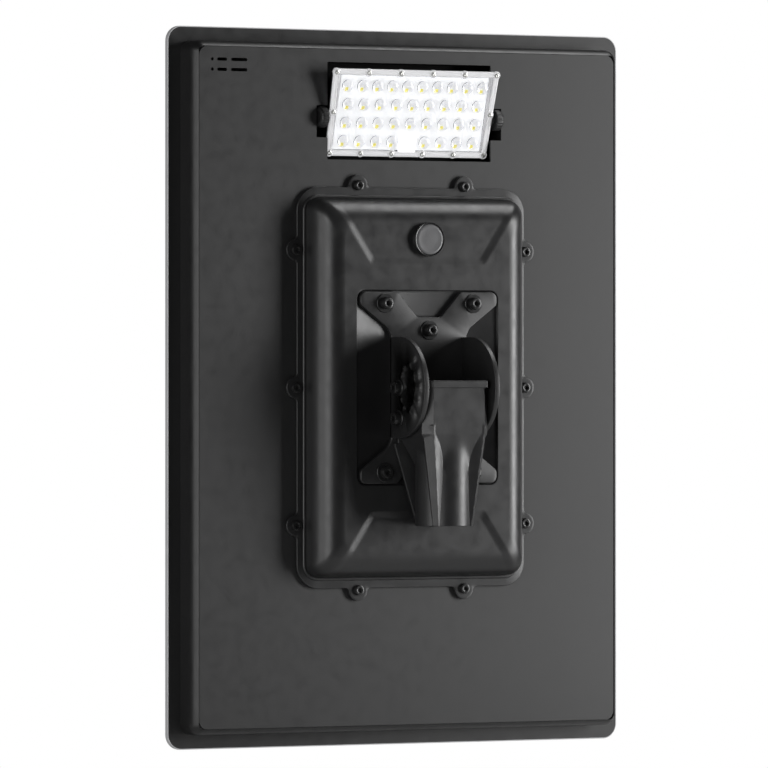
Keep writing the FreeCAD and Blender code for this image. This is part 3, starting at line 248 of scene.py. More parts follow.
def plate(pile, place, outline, low, high, edge=0.6, holes=(), sunk=None, steps=3):
    """A flat plate: the outline from one depth to another with quarter-round edges of radius edge, and
    holes that go through, or down to the depth sunk."""
    turns = np.linspace(0, math.pi / 2, steps + 1)
    outline = np.asarray(outline, float)
    rings = []
    for turn in turns[::-1]:
        rings.append((edge * (1 - math.cos(turn)), low + edge * (1 - math.sin(turn))))
    for turn in turns:
        rings.append((edge * (1 - math.cos(turn)), high - edge * (1 - math.sin(turn))))
    stack = []
    for by, depth in rings:
        ring = inset(outline, by)
        stack.append(place(ring[:, 0], ring[:, 1], np.full(len(ring), depth)))
    pile.add(*skin(np.array(stack), caps=(False, False)))
    rim = inset(outline, edge)
    round_holes = [circle(*hole) for hole in holes]
    top, faces = flat_cap(rim, round_holes)
    pile.add(place(top[:, 0], top[:, 1], np.full(len(top), high)), faces)
    bottom, faces = flat_cap(rim, round_holes if sunk is None else [])
    pile.add(place(bottom[:, 0], bottom[:, 1], np.full(len(bottom), low)), faces)
    floor = low if sunk is None else sunk
    for hole in round_holes:
        wall = np.array([place(hole[:, 0], hole[:, 1], np.full(len(hole), depth)) for depth in (high, floor)])
        pile.add(*skin(wall, caps=(False, sunk is not None)))


def turned(pile, place, x, z, profile, count=40, wave=None):
    """A turned piece: profile is (radius, depth) pairs carried round the centre; wave scales the radius
    by the angle and the step."""
    turns = np.linspace(0, 2 * math.pi, count, endpoint=False)
    rings = []
    for step, (radius, depth) in enumerate(profile):
        reach = np.full(count, float(radius)) if wave is None else radius * wave(turns, step)
        level = np.full(count, float(depth))
        rings.append(place(x + reach * np.cos(turns), z + reach * np.sin(turns), level))
    pile.add(*skin(np.array(rings)))


def hexagon(turns):
    """How far a hexagon of unit width across its corners reaches in each direction."""
    return math.cos(math.pi / 6) / np.cos((turns + math.pi / 6) % (math.pi / 3) - math.pi / 6)


def cap_screw(pile, place, x, z, seat, radius, height, socket=0.42, sink=0.55):
    """Socket-head screw: a bevelled head with a hexagonal recess."""
    bevel = radius * 0.12
    top = seat + height
    profile = [(radius, seat), (radius, top - bevel), (radius - bevel * 0.35, top - bevel * 0.35),
               (radius - bevel, top), (radius * socket * 1.22, top), (radius * socket, top - 0.5),
               (radius * socket, top - height * sink)]

    def wave(turns, step):
        return hexagon(turns) if step >= 5 else np.ones_like(turns)

    turned(pile, place, x, z, profile, 48, wave)


def washer(pile, place, x, z, seat, radius, bore, thick):
    """Flat ring with slightly broken edges, as a closed profile carried round its centre."""
    edge = thick * 0.25
    profile = [(bore, seat), (radius, seat), (radius, seat + thick - edge), (radius - edge, seat + thick),
               (bore, seat + thick)]
    turns = np.linspace(0, 2 * math.pi, 48, endpoint=False)
    rings = [place(x + r * np.cos(turns), z + r * np.sin(turns), np.full(48, float(d))) for r, d in profile]
    pile.add(*skin(np.array(rings), ring_closed=True))


def carried(pile, place, half_x, half_z, radius, profile, **options):
    """A closed frame: the profile of (inset, depth) points carried round a rounded rectangle."""
    rings = []
    for by, depth in profile:
        ring = rounded_rectangle(half_x - by, half_z - by, radius - by, **options)
        rings.append(place(ring[:, 0], ring[:, 1], np.full(len(ring), depth)))
    pile.add(*skin(np.array(rings), ring_closed=True))


def smooth(low, high, value):
    """A smooth step from 0 at low to 1 at high."""
    share = np.clip((value - low) / (high - low), 0, 1)
    return share * share * (3 - 2 * share)


# ---------------------------------------------------------------- materials

def new_material(name):
    """An empty node material with its shader and its object coordinates."""
    material = bpy.data.materials.new(name)
    material.use_nodes = True
    tree = material.node_tree
    shader = tree.nodes["Principled BSDF"]
    place = tree.nodes.new("ShaderNodeTexCoord").outputs["Object"]
    return material, tree, shader, place


def noise(tree, place, scale, detail=3.0, rough=0.5):
    """A noise texture's value at that scale, in repeats per metre."""
    texture = tree.nodes.new("ShaderNodeTexNoise")
    texture.inputs["Scale"].default_value = scale
    texture.inputs["Detail"].default_value = detail
    texture.inputs["Roughness"].default_value = rough
    tree.links.new(place, texture.inputs["Vector"])
    return texture.outputs["Fac"]


def spread(tree, value, low, high, start=0.3, end=0.7):
    """A value stretched to a range."""
    node = tree.nodes.new("ShaderNodeMapRange")
    for key, amount in (("From Min", start), ("From Max", end), ("To Min", low), ("To Max", high)):
        node.inputs[key].default_value = amount
    tree.links.new(value, node.inputs["Value"])
    return node.outputs["Result"]


def blend_colours(tree, share, first, second):
    """A colour between two, by a share."""
    node = tree.nodes.new("ShaderNodeMix")
    node.data_type = "RGBA"
    node.inputs["A"].default_value = (*first, 1)
    node.inputs["B"].default_value = (*second, 1)
    tree.links.new(share, node.inputs["Factor"])
    return node.outputs["Result"]


def bump(tree, shader, heights):
    """Surface relief: a chain of (height value, strength, distance in metres)."""
    last = None
    for value, strength, distance in heights:
        node = tree.nodes.new("ShaderNodeBump")
        node.inputs["Strength"].default_value = strength
        node.inputs["Distance"].default_value = distance
        tree.links.new(value, node.inputs["Height"])
        if last is not None:
            tree.links.new(last, node.inputs["Normal"])
        last = node.outputs["Normal"]
    tree.links.new(last, shader.inputs["Normal"])


def coated(name, colour, rough, grain=900.0, relief=0.00012, patch=0.06, metal=0.0, specular=0.5, glow=0.0):
    """Powder coat, paint or moulded plastic: a fine orange-peel grain, faint cloudiness in the colour and
    small changes in gloss."""
    material, tree, shader, place = new_material(name)
    cloud = noise(tree, place, 9.0, 4.0)
    light = tuple(min(1.0, channel * (1 + patch)) for channel in colour)
    dark = tuple(channel * (1 - patch) for channel in colour)
    tree.links.new(blend_colours(tree, spread(tree, cloud, 0, 1), dark, light), shader.inputs["Base Color"])
    speck = noise(tree, place, grain, 2.0)
    gloss = spread(tree, noise(tree, place, 60.0, 5.0), rough - 0.05, rough + 0.05)
    tree.links.new(gloss, shader.inputs["Roughness"])
    bump(tree, shader, [(speck, 0.35, relief)])
    shader.inputs["Metallic"].default_value = metal
    shader.inputs["Specular IOR Level"].default_value = specular
    # Glow is painted light: emission in the lightened colour makes a part look lit though it is no lamp.
    shader.inputs["Emission Color"].default_value = (*light, 1)
    shader.inputs["Emission Strength"].default_value = glow
    return material


def rubbed_steel(name, colour, rough):
    """Plated steel: fine scratches both ways and cloudy gloss."""
    material, tree, shader, place = new_material(name)
    stretch = tree.nodes.new("ShaderNodeMapping")
    stretch.inputs["Scale"].default_value = (1, 1, 14)
    tree.links.new(place, stretch.inputs["Vector"])
    scratch = noise(tree, stretch.outputs["Vector"], 500.0, 6.0, 0.7)
    dark = tuple(0.8 * channel for channel in colour)
    tone = blend_colours(tree, spread(tree, scratch, 0, 1), dark, colour)
    tree.links.new(tone, shader.inputs["Base Color"])
    tree.links.new(spread(tree, scratch, rough - 0.08, rough + 0.12), shader.inputs["Roughness"])
    bump(tree, shader, [(scratch, 0.25, 0.00008)])
    shader.inputs["Metallic"].default_value = 1.0
    return material


def clear_moulding(name, tint, rough, see_through, glow=0.0):
    """Clear moulded plastic: flow marks in the gloss and a very slight ripple."""
    material, tree, shader, place = new_material(name)
    flow = noise(tree, place, 40.0, 3.0)
    dark = tuple(0.96 * channel for channel in tint)
    tree.links.new(blend_colours(tree, spread(tree, flow, 0, 1), dark, tint), shader.inputs["Base Color"])
    tree.links.new(spread(tree, flow, rough, rough + 0.05), shader.inputs["Roughness"])
    bump(tree, shader, [(flow, 0.1, 0.0002)])
    shader.inputs["Transmission Weight"].default_value = see_through
    # Glow is painted light: emission that makes the moulding look lit.
    shader.inputs["Emission Color"].default_value = (*tint, 1)
    shader.inputs["Emission Strength"].default_value = glow
    shader.inputs["IOR"].default_value = 1.5
    return material


def solar_silicon(name):
    """Dark blue-black cells: soft crystal shimmer and fine collector lines across them."""
    material, tree, shader, place = new_material(name)
    split = tree.nodes.new("ShaderNodeSeparateXYZ")
    tree.links.new(place, split.inputs["Vector"])
    line = tree.nodes.new("ShaderNodeMath")
    line.operation = "PINGPONG"
    line.inputs[1].default_value = 0.0009
    tree.links.new(split.outputs["Z"], line.inputs[0])
    fine = spread(tree, line.outputs["Value"], 1, 0, 0.0, 0.00016)
    shimmer = blend_colours(tree, spread(tree, noise(tree, place, 14.0, 2.0), 0, 1),
                            (0.004, 0.006, 0.016), (0.008, 0.011, 0.028))
    node = tree.nodes.new("ShaderNodeMix")
    node.data_type = "RGBA"
    tree.links.new(fine, node.inputs["Factor"])
    tree.links.new(shimmer, node.inputs["A"])
    node.inputs["B"].default_value = (0.09, 0.1, 0.12, 1)
    tree.links.new(node.outputs["Result"], shader.inputs["Base Color"])
    shader.inputs["Roughness"].default_value = 0.28
    return material


def chip_glow(name):
    """Yellow phosphor over the chip, brighter in the middle of the grain."""
    material, tree, shader, place = new_material(name)
    grain = noise(tree, place, 2500.0, 2.0)
    tone = blend_colours(tree, spread(tree, grain, 0, 1), (0.90, 0.78, 0.10), (0.95, 0.88, 0.24))
    tree.links.new(tone, shader.inputs["Base Color"])
    tree.links.new(tone, shader.inputs["Emission Color"])
    shader.inputs["Emission Strength"].default_value = 0.8
    shader.inputs["Roughness"].default_value = 0.6
    bump(tree, shader, [(grain, 0.3, 0.0001)])
    return material


SLAB = coated("slab_coat", (0.010, 0.010, 0.0102), 0.40, grain=1100.0)
COVER = coated("cover_coat", (0.012, 0.012, 0.0122), 0.44, grain=1200.0)
DOME = coated("dome_coat", (0.012, 0.012, 0.0123), 0.36, grain=1000.0)
CAST = coated("cast_coat", (0.014, 0.014, 0.0144), 0.38, grain=700.0, relief=0.0002)
BRACKET = coated("bracket_coat", (0.013, 0.013, 0.0133), 0.40, grain=900.0)
FRAME = coated("frame_coat", (0.010, 0.010, 0.0102), 0.38, grain=1400.0)
# Painted highlight: light grey stands in for the light caught along the frame's rounded outer edge.
EDGE_HIGHLIGHT_COAT = coated("frame_edge_painted_highlight", (0.5, 0.5, 0.51), 0.35, grain=1400.0)
SCREW = coated("black_oxide", (0.012, 0.012, 0.0122), 0.30, grain=2000.0, relief=0.00005, metal=0.2)
KNOB = coated("knob_plastic", (0.008, 0.008, 0.0082), 0.45, grain=1500.0)
BUTTON = coated("button_grey", (0.105, 0.105, 0.108), 0.32, grain=1600.0, relief=0.00006)
RING = coated("button_ring_black", (0.01, 0.01, 0.0102), 0.22, grain=1600.0, relief=0.00005)
WELL = coated("well_plastic", (0.004, 0.004, 0.004), 0.7, grain=600.0, specular=0.2)
RUBBER = coated("seal_rubber", (0.006, 0.006, 0.006), 0.75, grain=700.0, specular=0.3)
# Painted light: the white board glows so the clear domes over it read bright white.
BOARD = coated("white_board_painted_glow", (0.88, 0.89, 0.9), 0.4, grain=500.0, patch=0.03, glow=0.74)
# Painted light: the sensor cover glows to look brightly lit.
WHITE = coated("white_plastic", (0.78, 0.78, 0.78), 0.38, grain=800.0, patch=0.03, glow=0.6)
# Painted light: the white gasket glows to look lit.
SEAL = coated("seal_white_painted_glow", (0.74, 0.74, 0.75), 0.6, grain=800.0, patch=0.03, glow=0.35)
INNER = coated("inner_plastic", (0.05, 0.05, 0.05), 0.55)
CIRCUIT = coated("green_mask", (0.02, 0.16, 0.07), 0.35)
WRAP = coated("battery_film", (0.03, 0.12, 0.3), 0.3)
SHEET = coated("back_sheet_film", (0.04, 0.04, 0.042), 0.5)
ALLOY = rubbed_steel("cast_alloy", (0.55, 0.56, 0.57), 0.42)
PLATED = rubbed_steel("zinc_plate", (0.62, 0.62, 0.6), 0.32)
LENS = clear_moulding("clear_lens", (0.99, 0.99, 1.0), 0.05, 0.97)
# Painted light: the rim glows a little to read bright grey-white.
RIM = clear_moulding("clear_rim_painted_glow", (0.86, 0.86, 0.87), 0.12, 0.45, 0.1)
GLASS = clear_moulding("panel_glass", (0.93, 0.96, 0.98), 0.05, 1.0)
CELLS = solar_silicon("cell_silicon")
CHIP = chip_glow("chip_phosphor")

CAD_FINISH = {
    "sleeve_set_screws": SCREW, "solar_glass": GLASS, "panel_backsheet": SHEET, "solar_cells": CELLS,
    "rear_cover": COVER, "dome_gasket": RUBBER, "dome_nuts": PLATED, "battery_cells": WRAP,
    "battery_tray": INNER, "battery_protection_board": CIRCUIT, "charge_controller": ALLOY,
    "button_switch": INNER, "lamp_well": WELL, "lamp_ears": BRACKET, "lamp_housing": ALLOY,
    "led_board": BOARD, "led_chips": CHIP, "lamp_gasket": SEAL,
}
for node, finish in CAD_FINISH.items():
    mesh = nodes[node].data
    mesh.materials.clear()
    mesh.materials.append(finish)


# ---------------------------------------------------------------- camera and lights

def make_camera():
    """Long lens, level, from behind and to the left of the lamp side."""
    middle = Vector((0, COVER_Y, TILT_AXIS[2]))
    turn, distance, shift, lift = math.radians(-30), 9.63, 0.0319, 0.0046
    right = Vector((math.cos(turn), math.sin(turn), 0))
    away = Vector((-math.sin(turn), math.cos(turn), 0))
    aim = middle - right * shift + Vector((0, 0, lift))
    data = bpy.data.cameras.new("camera")
    data.lens = 361
    data.sensor_width = 36
    camera = bpy.data.objects.new("camera", data)
    bpy.context.scene.collection.objects.link(camera)
    camera.location = aim - away * distance
    camera.rotation_euler = away.to_track_quat("-Z", "Y").to_euler()
    bpy.context.scene.camera = camera


def add_softbox(name, direction, distance, width, height, power, aim=(0, 0.06, 0.17)):
    """A rectangular studio light that looks at the object from a direction."""
    data = bpy.data.lights.new(name, "AREA")
    data.shape = "RECTANGLE"
    data.size = width
    data.size_y = height
    data.energy = power
    light = bpy.data.objects.new(name, data)
    bpy.context.scene.collection.objects.link(light)
    toward = Vector(direction).normalized()
    light.location = Vector(aim) + toward * distance
    light.rotation_euler = toward.to_track_quat("Z", "Y").to_euler()


def make_studio():
    """White backdrop, dim white surroundings, two boxes to the left, one to the right and one above."""
    world = bpy.data.worlds.new("studio")
    bpy.context.scene.world = world
    world.use_nodes = True
    tree = world.node_tree
    tree.nodes.clear()
    output = tree.nodes.new("ShaderNodeOutputWorld")
    mix = tree.nodes.new("ShaderNodeMixShader")
    path = tree.nodes.new("ShaderNodeLightPath")
    seen, dim = tree.nodes.new("ShaderNodeBackground"), tree.nodes.new("ShaderNodeBackground")
    seen.inputs["Strength"].default_value = 1.0
    seen.inputs["Color"].default_value = (1, 1, 1, 1)
    dim.inputs["Color"].default_value = (1, 1, 1, 1)
    dim.inputs["Strength"].default_value = 0.012
    tree.links.new(path.outputs["Is Camera Ray"], mix.inputs["Fac"])
    tree.links.new(dim.outputs["Background"], mix.inputs[1])
    tree.links.new(seen.outputs["Background"], mix.inputs[2])
    tree.links.new(mix.outputs["Shader"], output.inputs["Surface"])
    add_softbox("left_box", (-0.766, -0.643, 0.0), 3.2, 1.4, 2.6, 42)
    add_softbox("left_rear_box", (-0.985, -0.174, 0.0), 3.2, 1.4, 2.6, 26)
    add_softbox("right_box", (0.829, -0.559, 0.05), 3.2, 1.05, 2.2, 105)
    add_softbox("top_box", (0.5, -0.1, 0.9), 3.0, 1.5, 1.2, 34)
    floor = bpy.data.meshes.new("floor")
    side, low = 1.15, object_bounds()[0][2] - 0.12
    floor.from_pydata([(-side, -side, low), (side, -side, low), (side, side, low), (-side, side, low)], [],
                      [(0, 1, 2, 3)])
    floor.materials.append(coated("floor_paper", (0.86, 0.86, 0.86), 0.7, grain=60.0, patch=0.01))
    ground = bpy.data.objects.new("floor", floor)
    bpy.context.scene.collection.objects.link(ground)
    bpy.context.scene.view_settings.view_transform = "Standard"


# ---------------------------------------------------------------- slab

def corner_arc(start, end, centre, steps=6):
    """Points of a quarter circle or ellipse from start to end about a centre, in (inset, depth)."""
    start, end, centre = (np.array(item, float) for item in (start, end, centre))
    turns = np.linspace(0, math.pi / 2, steps)[:, None]
    spots = centre + (start - centre) * np.cos(turns) + (end - centre) * np.sin(turns)
    return [tuple(spot) for spot in spots]


def make_front_frame():
    """Flanged rail round the panel: a flat section with a rabbet for the glass and rounded outer edges, whose
    outer skin is light grey as a painted highlight.
    """
    low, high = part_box("front_frame")
    half_x, half_z = (high[0] - low[0]) / 2 / MM, (high[2] - low[2]) / 2 / MM
    front, back = (COVER_Y - high[1]) / MM, (COVER_Y - low[1]) / MM
    band, skin_thick, edge, ledge, rabbet, floor = 2.0, 1.2, 0.9, 32.5, 20.0, front + 4.5
    pile = Pile()
    inner = skin_thick + 0.05
    profile = [(inner, back), (inner, front + band), (rabbet, front + band), (rabbet, floor), (ledge, floor),
               (ledge, back)]
    carried(pile, head, half_x, half_z, 19, profile)
    pile.piece("front_rail", FRAME, "head", "frame_black")
    # Painted highlight: the outer side and rounded edge get the light grey coat instead of the black.
    highlight_edge = Pile()
    profile = [(0, back - 0.5)] + corner_arc((0, front + edge), (edge, front), (edge, front + edge))
    profile += [(rabbet, front), (rabbet, front + band - 0.05), (skin_thick, front + band - 0.05),
                (skin_thick, back), (0.5, back)]
    carried(highlight_edge, head, half_x, half_z, 19, profile)
    piece = highlight_edge.piece("front_rail_edge", EDGE_HIGHLIGHT_COAT, "head", "frame_black")
    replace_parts(piece, "front_frame")


def make_tray():
    """Side wall of the slab: flat side, a rear shoulder, then the seat of the cover. The shoulder is an arc
    of radius r: inset r (1 - sin t) and depth r (cos t - cos 40), with t from 90 to 40 degrees."""
    low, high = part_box("rear_tray")
    half_x, half_z = (high[0] - low[0]) / 2 / MM, (high[2] - low[2]) / 2 / MM
    depth = (high[1] - low[1]) / MM
    radius, wall, seat, sheet, ledge = 19.3, 8.0, 15.0, 2.5, 4.5
    turns = np.radians(np.linspace(90, 40, 14))
    lip = radius * (1 - math.sin(turns[-1]))
    profile = [(0, -depth)]
    for turn in turns:
        profile.append((radius * (1 - math.sin(turn)), radius * (math.cos(turn) - math.cos(turns[-1]))))
    profile += [(lip + 0.1, -sheet), (seat, -sheet), (seat, -ledge), (wall, -ledge), (wall, -depth)]
    pile = Pile()
    carried(pile, head, half_x, half_z, 14, profile)
    piece = pile.piece("tray_shell", SLAB, "head", "slab_black")
    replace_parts(piece, "rear_tray")


# ---------------------------------------------------------------- battery dome

def screw_places():
    """Where the dome's ten screws are, in the head frame."""
    sides = [(SCREW_SIDE * side, SCREW_RISE * rise) for side in (-1, 1) for rise in (-1, 0, 1)]
    ends = [(SCREW_END_SIDE * side, SCREW_END_RISE * rise) for side in (-1, 1) for rise in (-1, 1)]
    return sides + ends


def lobe_run(spot, edge, radius, blend):
    """One lobe on a straight edge, along it and away from it: a blend arc, the round of the screw, and a
    blend arc back, all touching."""
    away = spot[1] - edge
    reach = math.sqrt((radius + blend) ** 2 - (blend - away) ** 2)
    lean = math.atan2(blend - away, reach)
    low = np.linspace(-math.pi / 2, lean, 6)
    centre = np.array([spot[0] - reach, edge + blend])
    first = centre + blend * np.stack([np.cos(low), np.sin(low)], -1)
    top = np.linspace(math.pi + lean, -lean, 26)
    middle = np.array(spot) + radius * np.stack([np.cos(top), np.sin(top)], -1)
    return np.concatenate([first, middle, (first[::-1] - (spot[0], 0)) * (-1, 1) + (spot[0], 0)])


def flange_outline(half_x, half_z, corner, lobe):
    """The flange's edge: a rounded rectangle whose sides swell out round the screws."""
    blend = 5.0
    rises = (-SCREW_RISE, 0, SCREW_RISE)
    side = [lobe_run((rise, SCREW_SIDE), half_x, lobe, blend)[::-1] for rise in rises]
    side = [run[::-1][:, ::-1] for run in side]
    turns = np.linspace(0, math.pi / 2, 14)
    arc = np.stack([half_x - corner + corner * np.cos(turns), half_z - corner + corner * np.sin(turns)], -1)
    top = lobe_run((SCREW_END_SIDE, SCREW_END_RISE), half_z, lobe, blend)[::-1]
    right = side[1][len(side[1]) // 2:]
    quarter = np.concatenate([right, side[2], arc, top])
    upper = np.concatenate([quarter, quarter[::-1] * (-1, 1)])
    return np.concatenate([upper, upper[::-1][1:-1] * (1, -1)])


def dome_relief(x, z, depth):
    """The dome's upper and lower ends step down a little inside a trapezoid. The step is its drop times the
    soft minimum of two ramps, one across the slanted side and one up the foot."""
    slant_side, slant_rise, slant_run, slant_lean, slant_wide = 122.7, 222, 0.676, 0.83, 9.0
    foot_rise, foot_wide, drop, sharpness = 153.5, 9.0, 1.5, 8
    high = np.abs(z)
    slant = slant_side - (slant_rise - high) * slant_run
    side = np.clip((slant - np.abs(x)) * slant_lean / slant_wide + 0.5, 0, 1)
    foot = np.clip((high - foot_rise) / foot_wide, 0, 1)
    both = np.exp(-sharpness * side) + np.exp(-sharpness * foot)
    low = np.clip(-np.log(both) / sharpness, 0, 1)
    return depth - drop * low * smooth(26, 40, depth)


def make_dome():
    """Cast cover: flange with lobes, then rings that climb a bead, a wall and a round shoulder to the flat
    top, and drop into the bracket's pocket."""
    flange = Pile()
    outline = flange_outline(164.1, 249.4, 30, 13.4)
    holes = [(x, z, 10.6, 36) for x, z in screw_places()]
    plate(flange, head, outline, 1.0, 5.0, 0.8, holes, sunk=SCREW_SEAT)
    flange.piece("dome_flange", DOME, "head", "dome_black")

    rings = []

    def ring(half_x, half_z, corner, depth):
        loop = rounded_rectangle(half_x, half_z, corner, sides=(110, 150))
        x, z = loop[:, 0], loop[:, 1]
        rings.append(head(x, z, dome_relief(x, z, np.full(len(loop), depth))))

    wide, tall, corner = 156.2, 240.0, 21.0
    ring(150, 234, 16, 2.0)
    ring(wide, tall, corner, 2.0)
    for by, depth in corner_arc((0.0, 4.6), (1.8, 6.9), (1.8, 4.6), 6):
        ring(wide - by, tall - by, corner - by, depth)
    for by, depth in ((3.4, 7.0), (4.2, 6.6), (4.5, 7.4)):
        ring(wide - by, tall - by, corner - by, depth)
    top, shoulder, foot, pocket = DOME_TOP, 33.0, 4.9, (102.0, 122.0, 12.0)
    start, end = (foot, top - shoulder), (foot + shoulder, top)
    for by, depth in corner_arc(start, end, (end[0], start[1]), 20):
        ring(wide - by, tall - by, corner - 4, depth)
    outer = np.array([wide - foot - shoulder, tall - foot - shoulder, corner - 4])
    for share in np.linspace(0, 1, 60)[1:]:
        ring(*(outer + (np.array(pocket) - outer) * share), top)
    for by, depth in corner_arc((0, top), (1.0, top - 1.0), (0, top - 1.0), 4)[1:]:
        ring(*(size - by for size in pocket), depth)
    ring(100.9, 120.9, 10.9, 43.2)
    ring(100.4, 120.4, 10.5, POCKET_FLOOR)
    pile = Pile()
    pile.add(*skin(np.array(rings)))
    piece = pile.piece("dome_cover", DOME, "head", "dome_black", 40)
    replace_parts(piece, "battery_dome")


def make_dome_screws():
    """Ten socket screws in the lobes."""
    pile = Pile()
    for x, z in screw_places():
        washer(pile, head, x, z, SCREW_SEAT, 9.6, 4.2, 0.9)
        cap_screw(pile, head, x, z, SCREW_SEAT + 0.9, 6.5, 4.1)
    piece = pile.piece("dome_socket_screws", SCREW, "head", "black_steel")
    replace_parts(piece, "dome_screws")


# ---------------------------------------------------------------- push button

def make_button():
    """Button: a bevelled collar and a cap with a glossy chamfer round its flat top."""
    rise, top = BUTTON_RISE, DOME_TOP
    collar = Pile()
    profile = [(19.35, top - 3), (21.5, top - 3), (21.5, top + 4.4), (21.1, top + 5.2), (20.4, top + 5.5),
               (19.7, top + 5.3), (19.35, top + 4.9)]
    turns = np.linspace(0, 2 * math.pi, 96, endpoint=False)
    rings = [head(r * np.cos(turns), rise + r * np.sin(turns), np.full(96, d)) for r, d in profile]
    collar.add(*skin(np.array(rings), ring_closed=True))
    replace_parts(collar.piece("button_collar", RING, "head", "button_black"), "button_ring")
    cap = Pile()
    turned(cap, head, 0, rise, [(18.9, top + 3.1), (18.95, top + 4.6), (18.5, top + 5.4), (17.0, top + 6.1),
                                (16.5, top + 6.2), (15.9, top + 6.1), (8, top + 6.35), (2, top + 6.45)], 96)
    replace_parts(cap.piece("button_top", BUTTON, "button", "button_grey"), "button_cap")


# ---------------------------------------------------------------- yoke bracket

def yoke_outline():
    """The hourglass base plate: blunt corners, slanting sides, a waist, and a notch at each end."""
    right = [(17, 87.8), (45.5, 119), (98, 119), (98, 103), (58.6, 74), (54, 64.6)]
    radii = [7, 7, 7.5, 7.5, 14, 6]
    lower = [(x, -z) for x, z in right[::-1]]
    loop = right + lower
    loop += [(-x, z) for x, z in loop[::-1]]
    sizes = radii + radii[::-1]
    return round_corners(loop, sizes + sizes[::-1], 8)[::-1]


def ear_outline():
    """An ear: square where it meets the plate and a half circle about the tilt axis."""
    turns = np.linspace(math.pi / 2, -math.pi / 2, 60)
    arc = np.stack([PIVOT_DEPTH + EAR_RADIUS * np.cos(turns), EAR_RADIUS * np.sin(turns)], -1)
    root = np.array([(44.0, -EAR_RADIUS), (44.0, EAR_RADIUS)])
    return np.concatenate([arc, root])


def ear_holes():
    """The ring of angle holes and two smaller pairs inside it, as (depth, z, radius, points)."""
    angles = [math.radians(angle) for angle in (-50, -25, 0, 25, 50)]
    ring = [(PIVOT_DEPTH + LOCK_DROP * math.cos(angle), LOCK_DROP * math.sin(angle), 3.3, 20)
            for angle in angles]
    near = [(PIVOT_DEPTH + 8.5, side * 24.0, 3.3, 20) for side in (-1, 1)]
    inner = [(PIVOT_DEPTH + 2.6, side * 13.6, 2.4, 18) for side in (-1, 1)]
    return ring + near + inner


def make_yoke():
    """Folded steel yoke: base plate (its screw holes are not cut), and two ears with their angle holes."""
    pile = Pile()
    plate(pile, head, yoke_outline(), POCKET_FLOOR, YOKE_FACE, 1.0)
    for start in (EAR_INNER, -EAR_OUTER):
        plate(pile, ears, ear_outline(), start, start + EAR_THICK, 1.1, ear_holes(), steps=4)
    piece = pile.piece("yoke_plate", BRACKET, "head", "bracket_black")
    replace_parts(piece, "bracket_yoke")


def make_bracket_screws():
    """Five socket screws on flat washers."""
    places = [(63.5 * side, 105 * rise) for side in (-1, 1) for rise in (-1, 1)] + [(0, 71.6)]
    washers, screws = Pile(), Pile()
    for x, z in places:
        washer(washers, head, x, z, YOKE_FACE, 12, 4.3, 1.6)
        cap_screw(screws, head, x, z, 50.4, 7.5, 7.0)
    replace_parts(washers.piece("yoke_washers", SCREW, "head", "black_steel"), "bracket_washers")
    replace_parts(screws.piece("yoke_screws", SCREW, "head", "black_steel"), "bracket_screws")


def make_tilt_bolts():
    """Pivot and lock bolts: socket heads on the left, nuts on the right, washers under both."""
    washers, bolts, nuts = Pile(), Pile(), Pile()

    def mirrored(x, z, depth):
        return head(-depth, z, x)

    def wave(turns, step):
        return hexagon(turns) if step in (1, 2) else np.ones_like(turns)

    shank = [(5, -56), (5, 65.4), (4.4, 66)]
    nut = [(7.6, 56), (8.8, 56.7), (8.8, 63.3), (7.6, 64)]
    for z in (0, -LOCK_DROP):
        for place in (ears, mirrored):
            washer(washers, place, PIVOT_DEPTH, z, EAR_OUTER, 10.2, 5.3, 2.0)
        cap_screw(bolts, mirrored, PIVOT_DEPTH, z, EAR_OUTER + 2.0, 8, 8.0)
        turned(bolts, ears, PIVOT_DEPTH, z, shank, 32)
        turned(nuts, ears, PIVOT_DEPTH, z, nut, 48, wave)
    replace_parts(washers.piece("tilt_washer_set", SCREW, "head", "black_steel"), "tilt_washers")
    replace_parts(bolts.piece("tilt_bolt_pair", SCREW, "head", "black_steel"), "tilt_bolts")
    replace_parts(nuts.piece("tilt_nut_pair", SCREW, "head", "black_steel"), "tilt_nuts")


# ---------------------------------------------------------------- pole sleeve

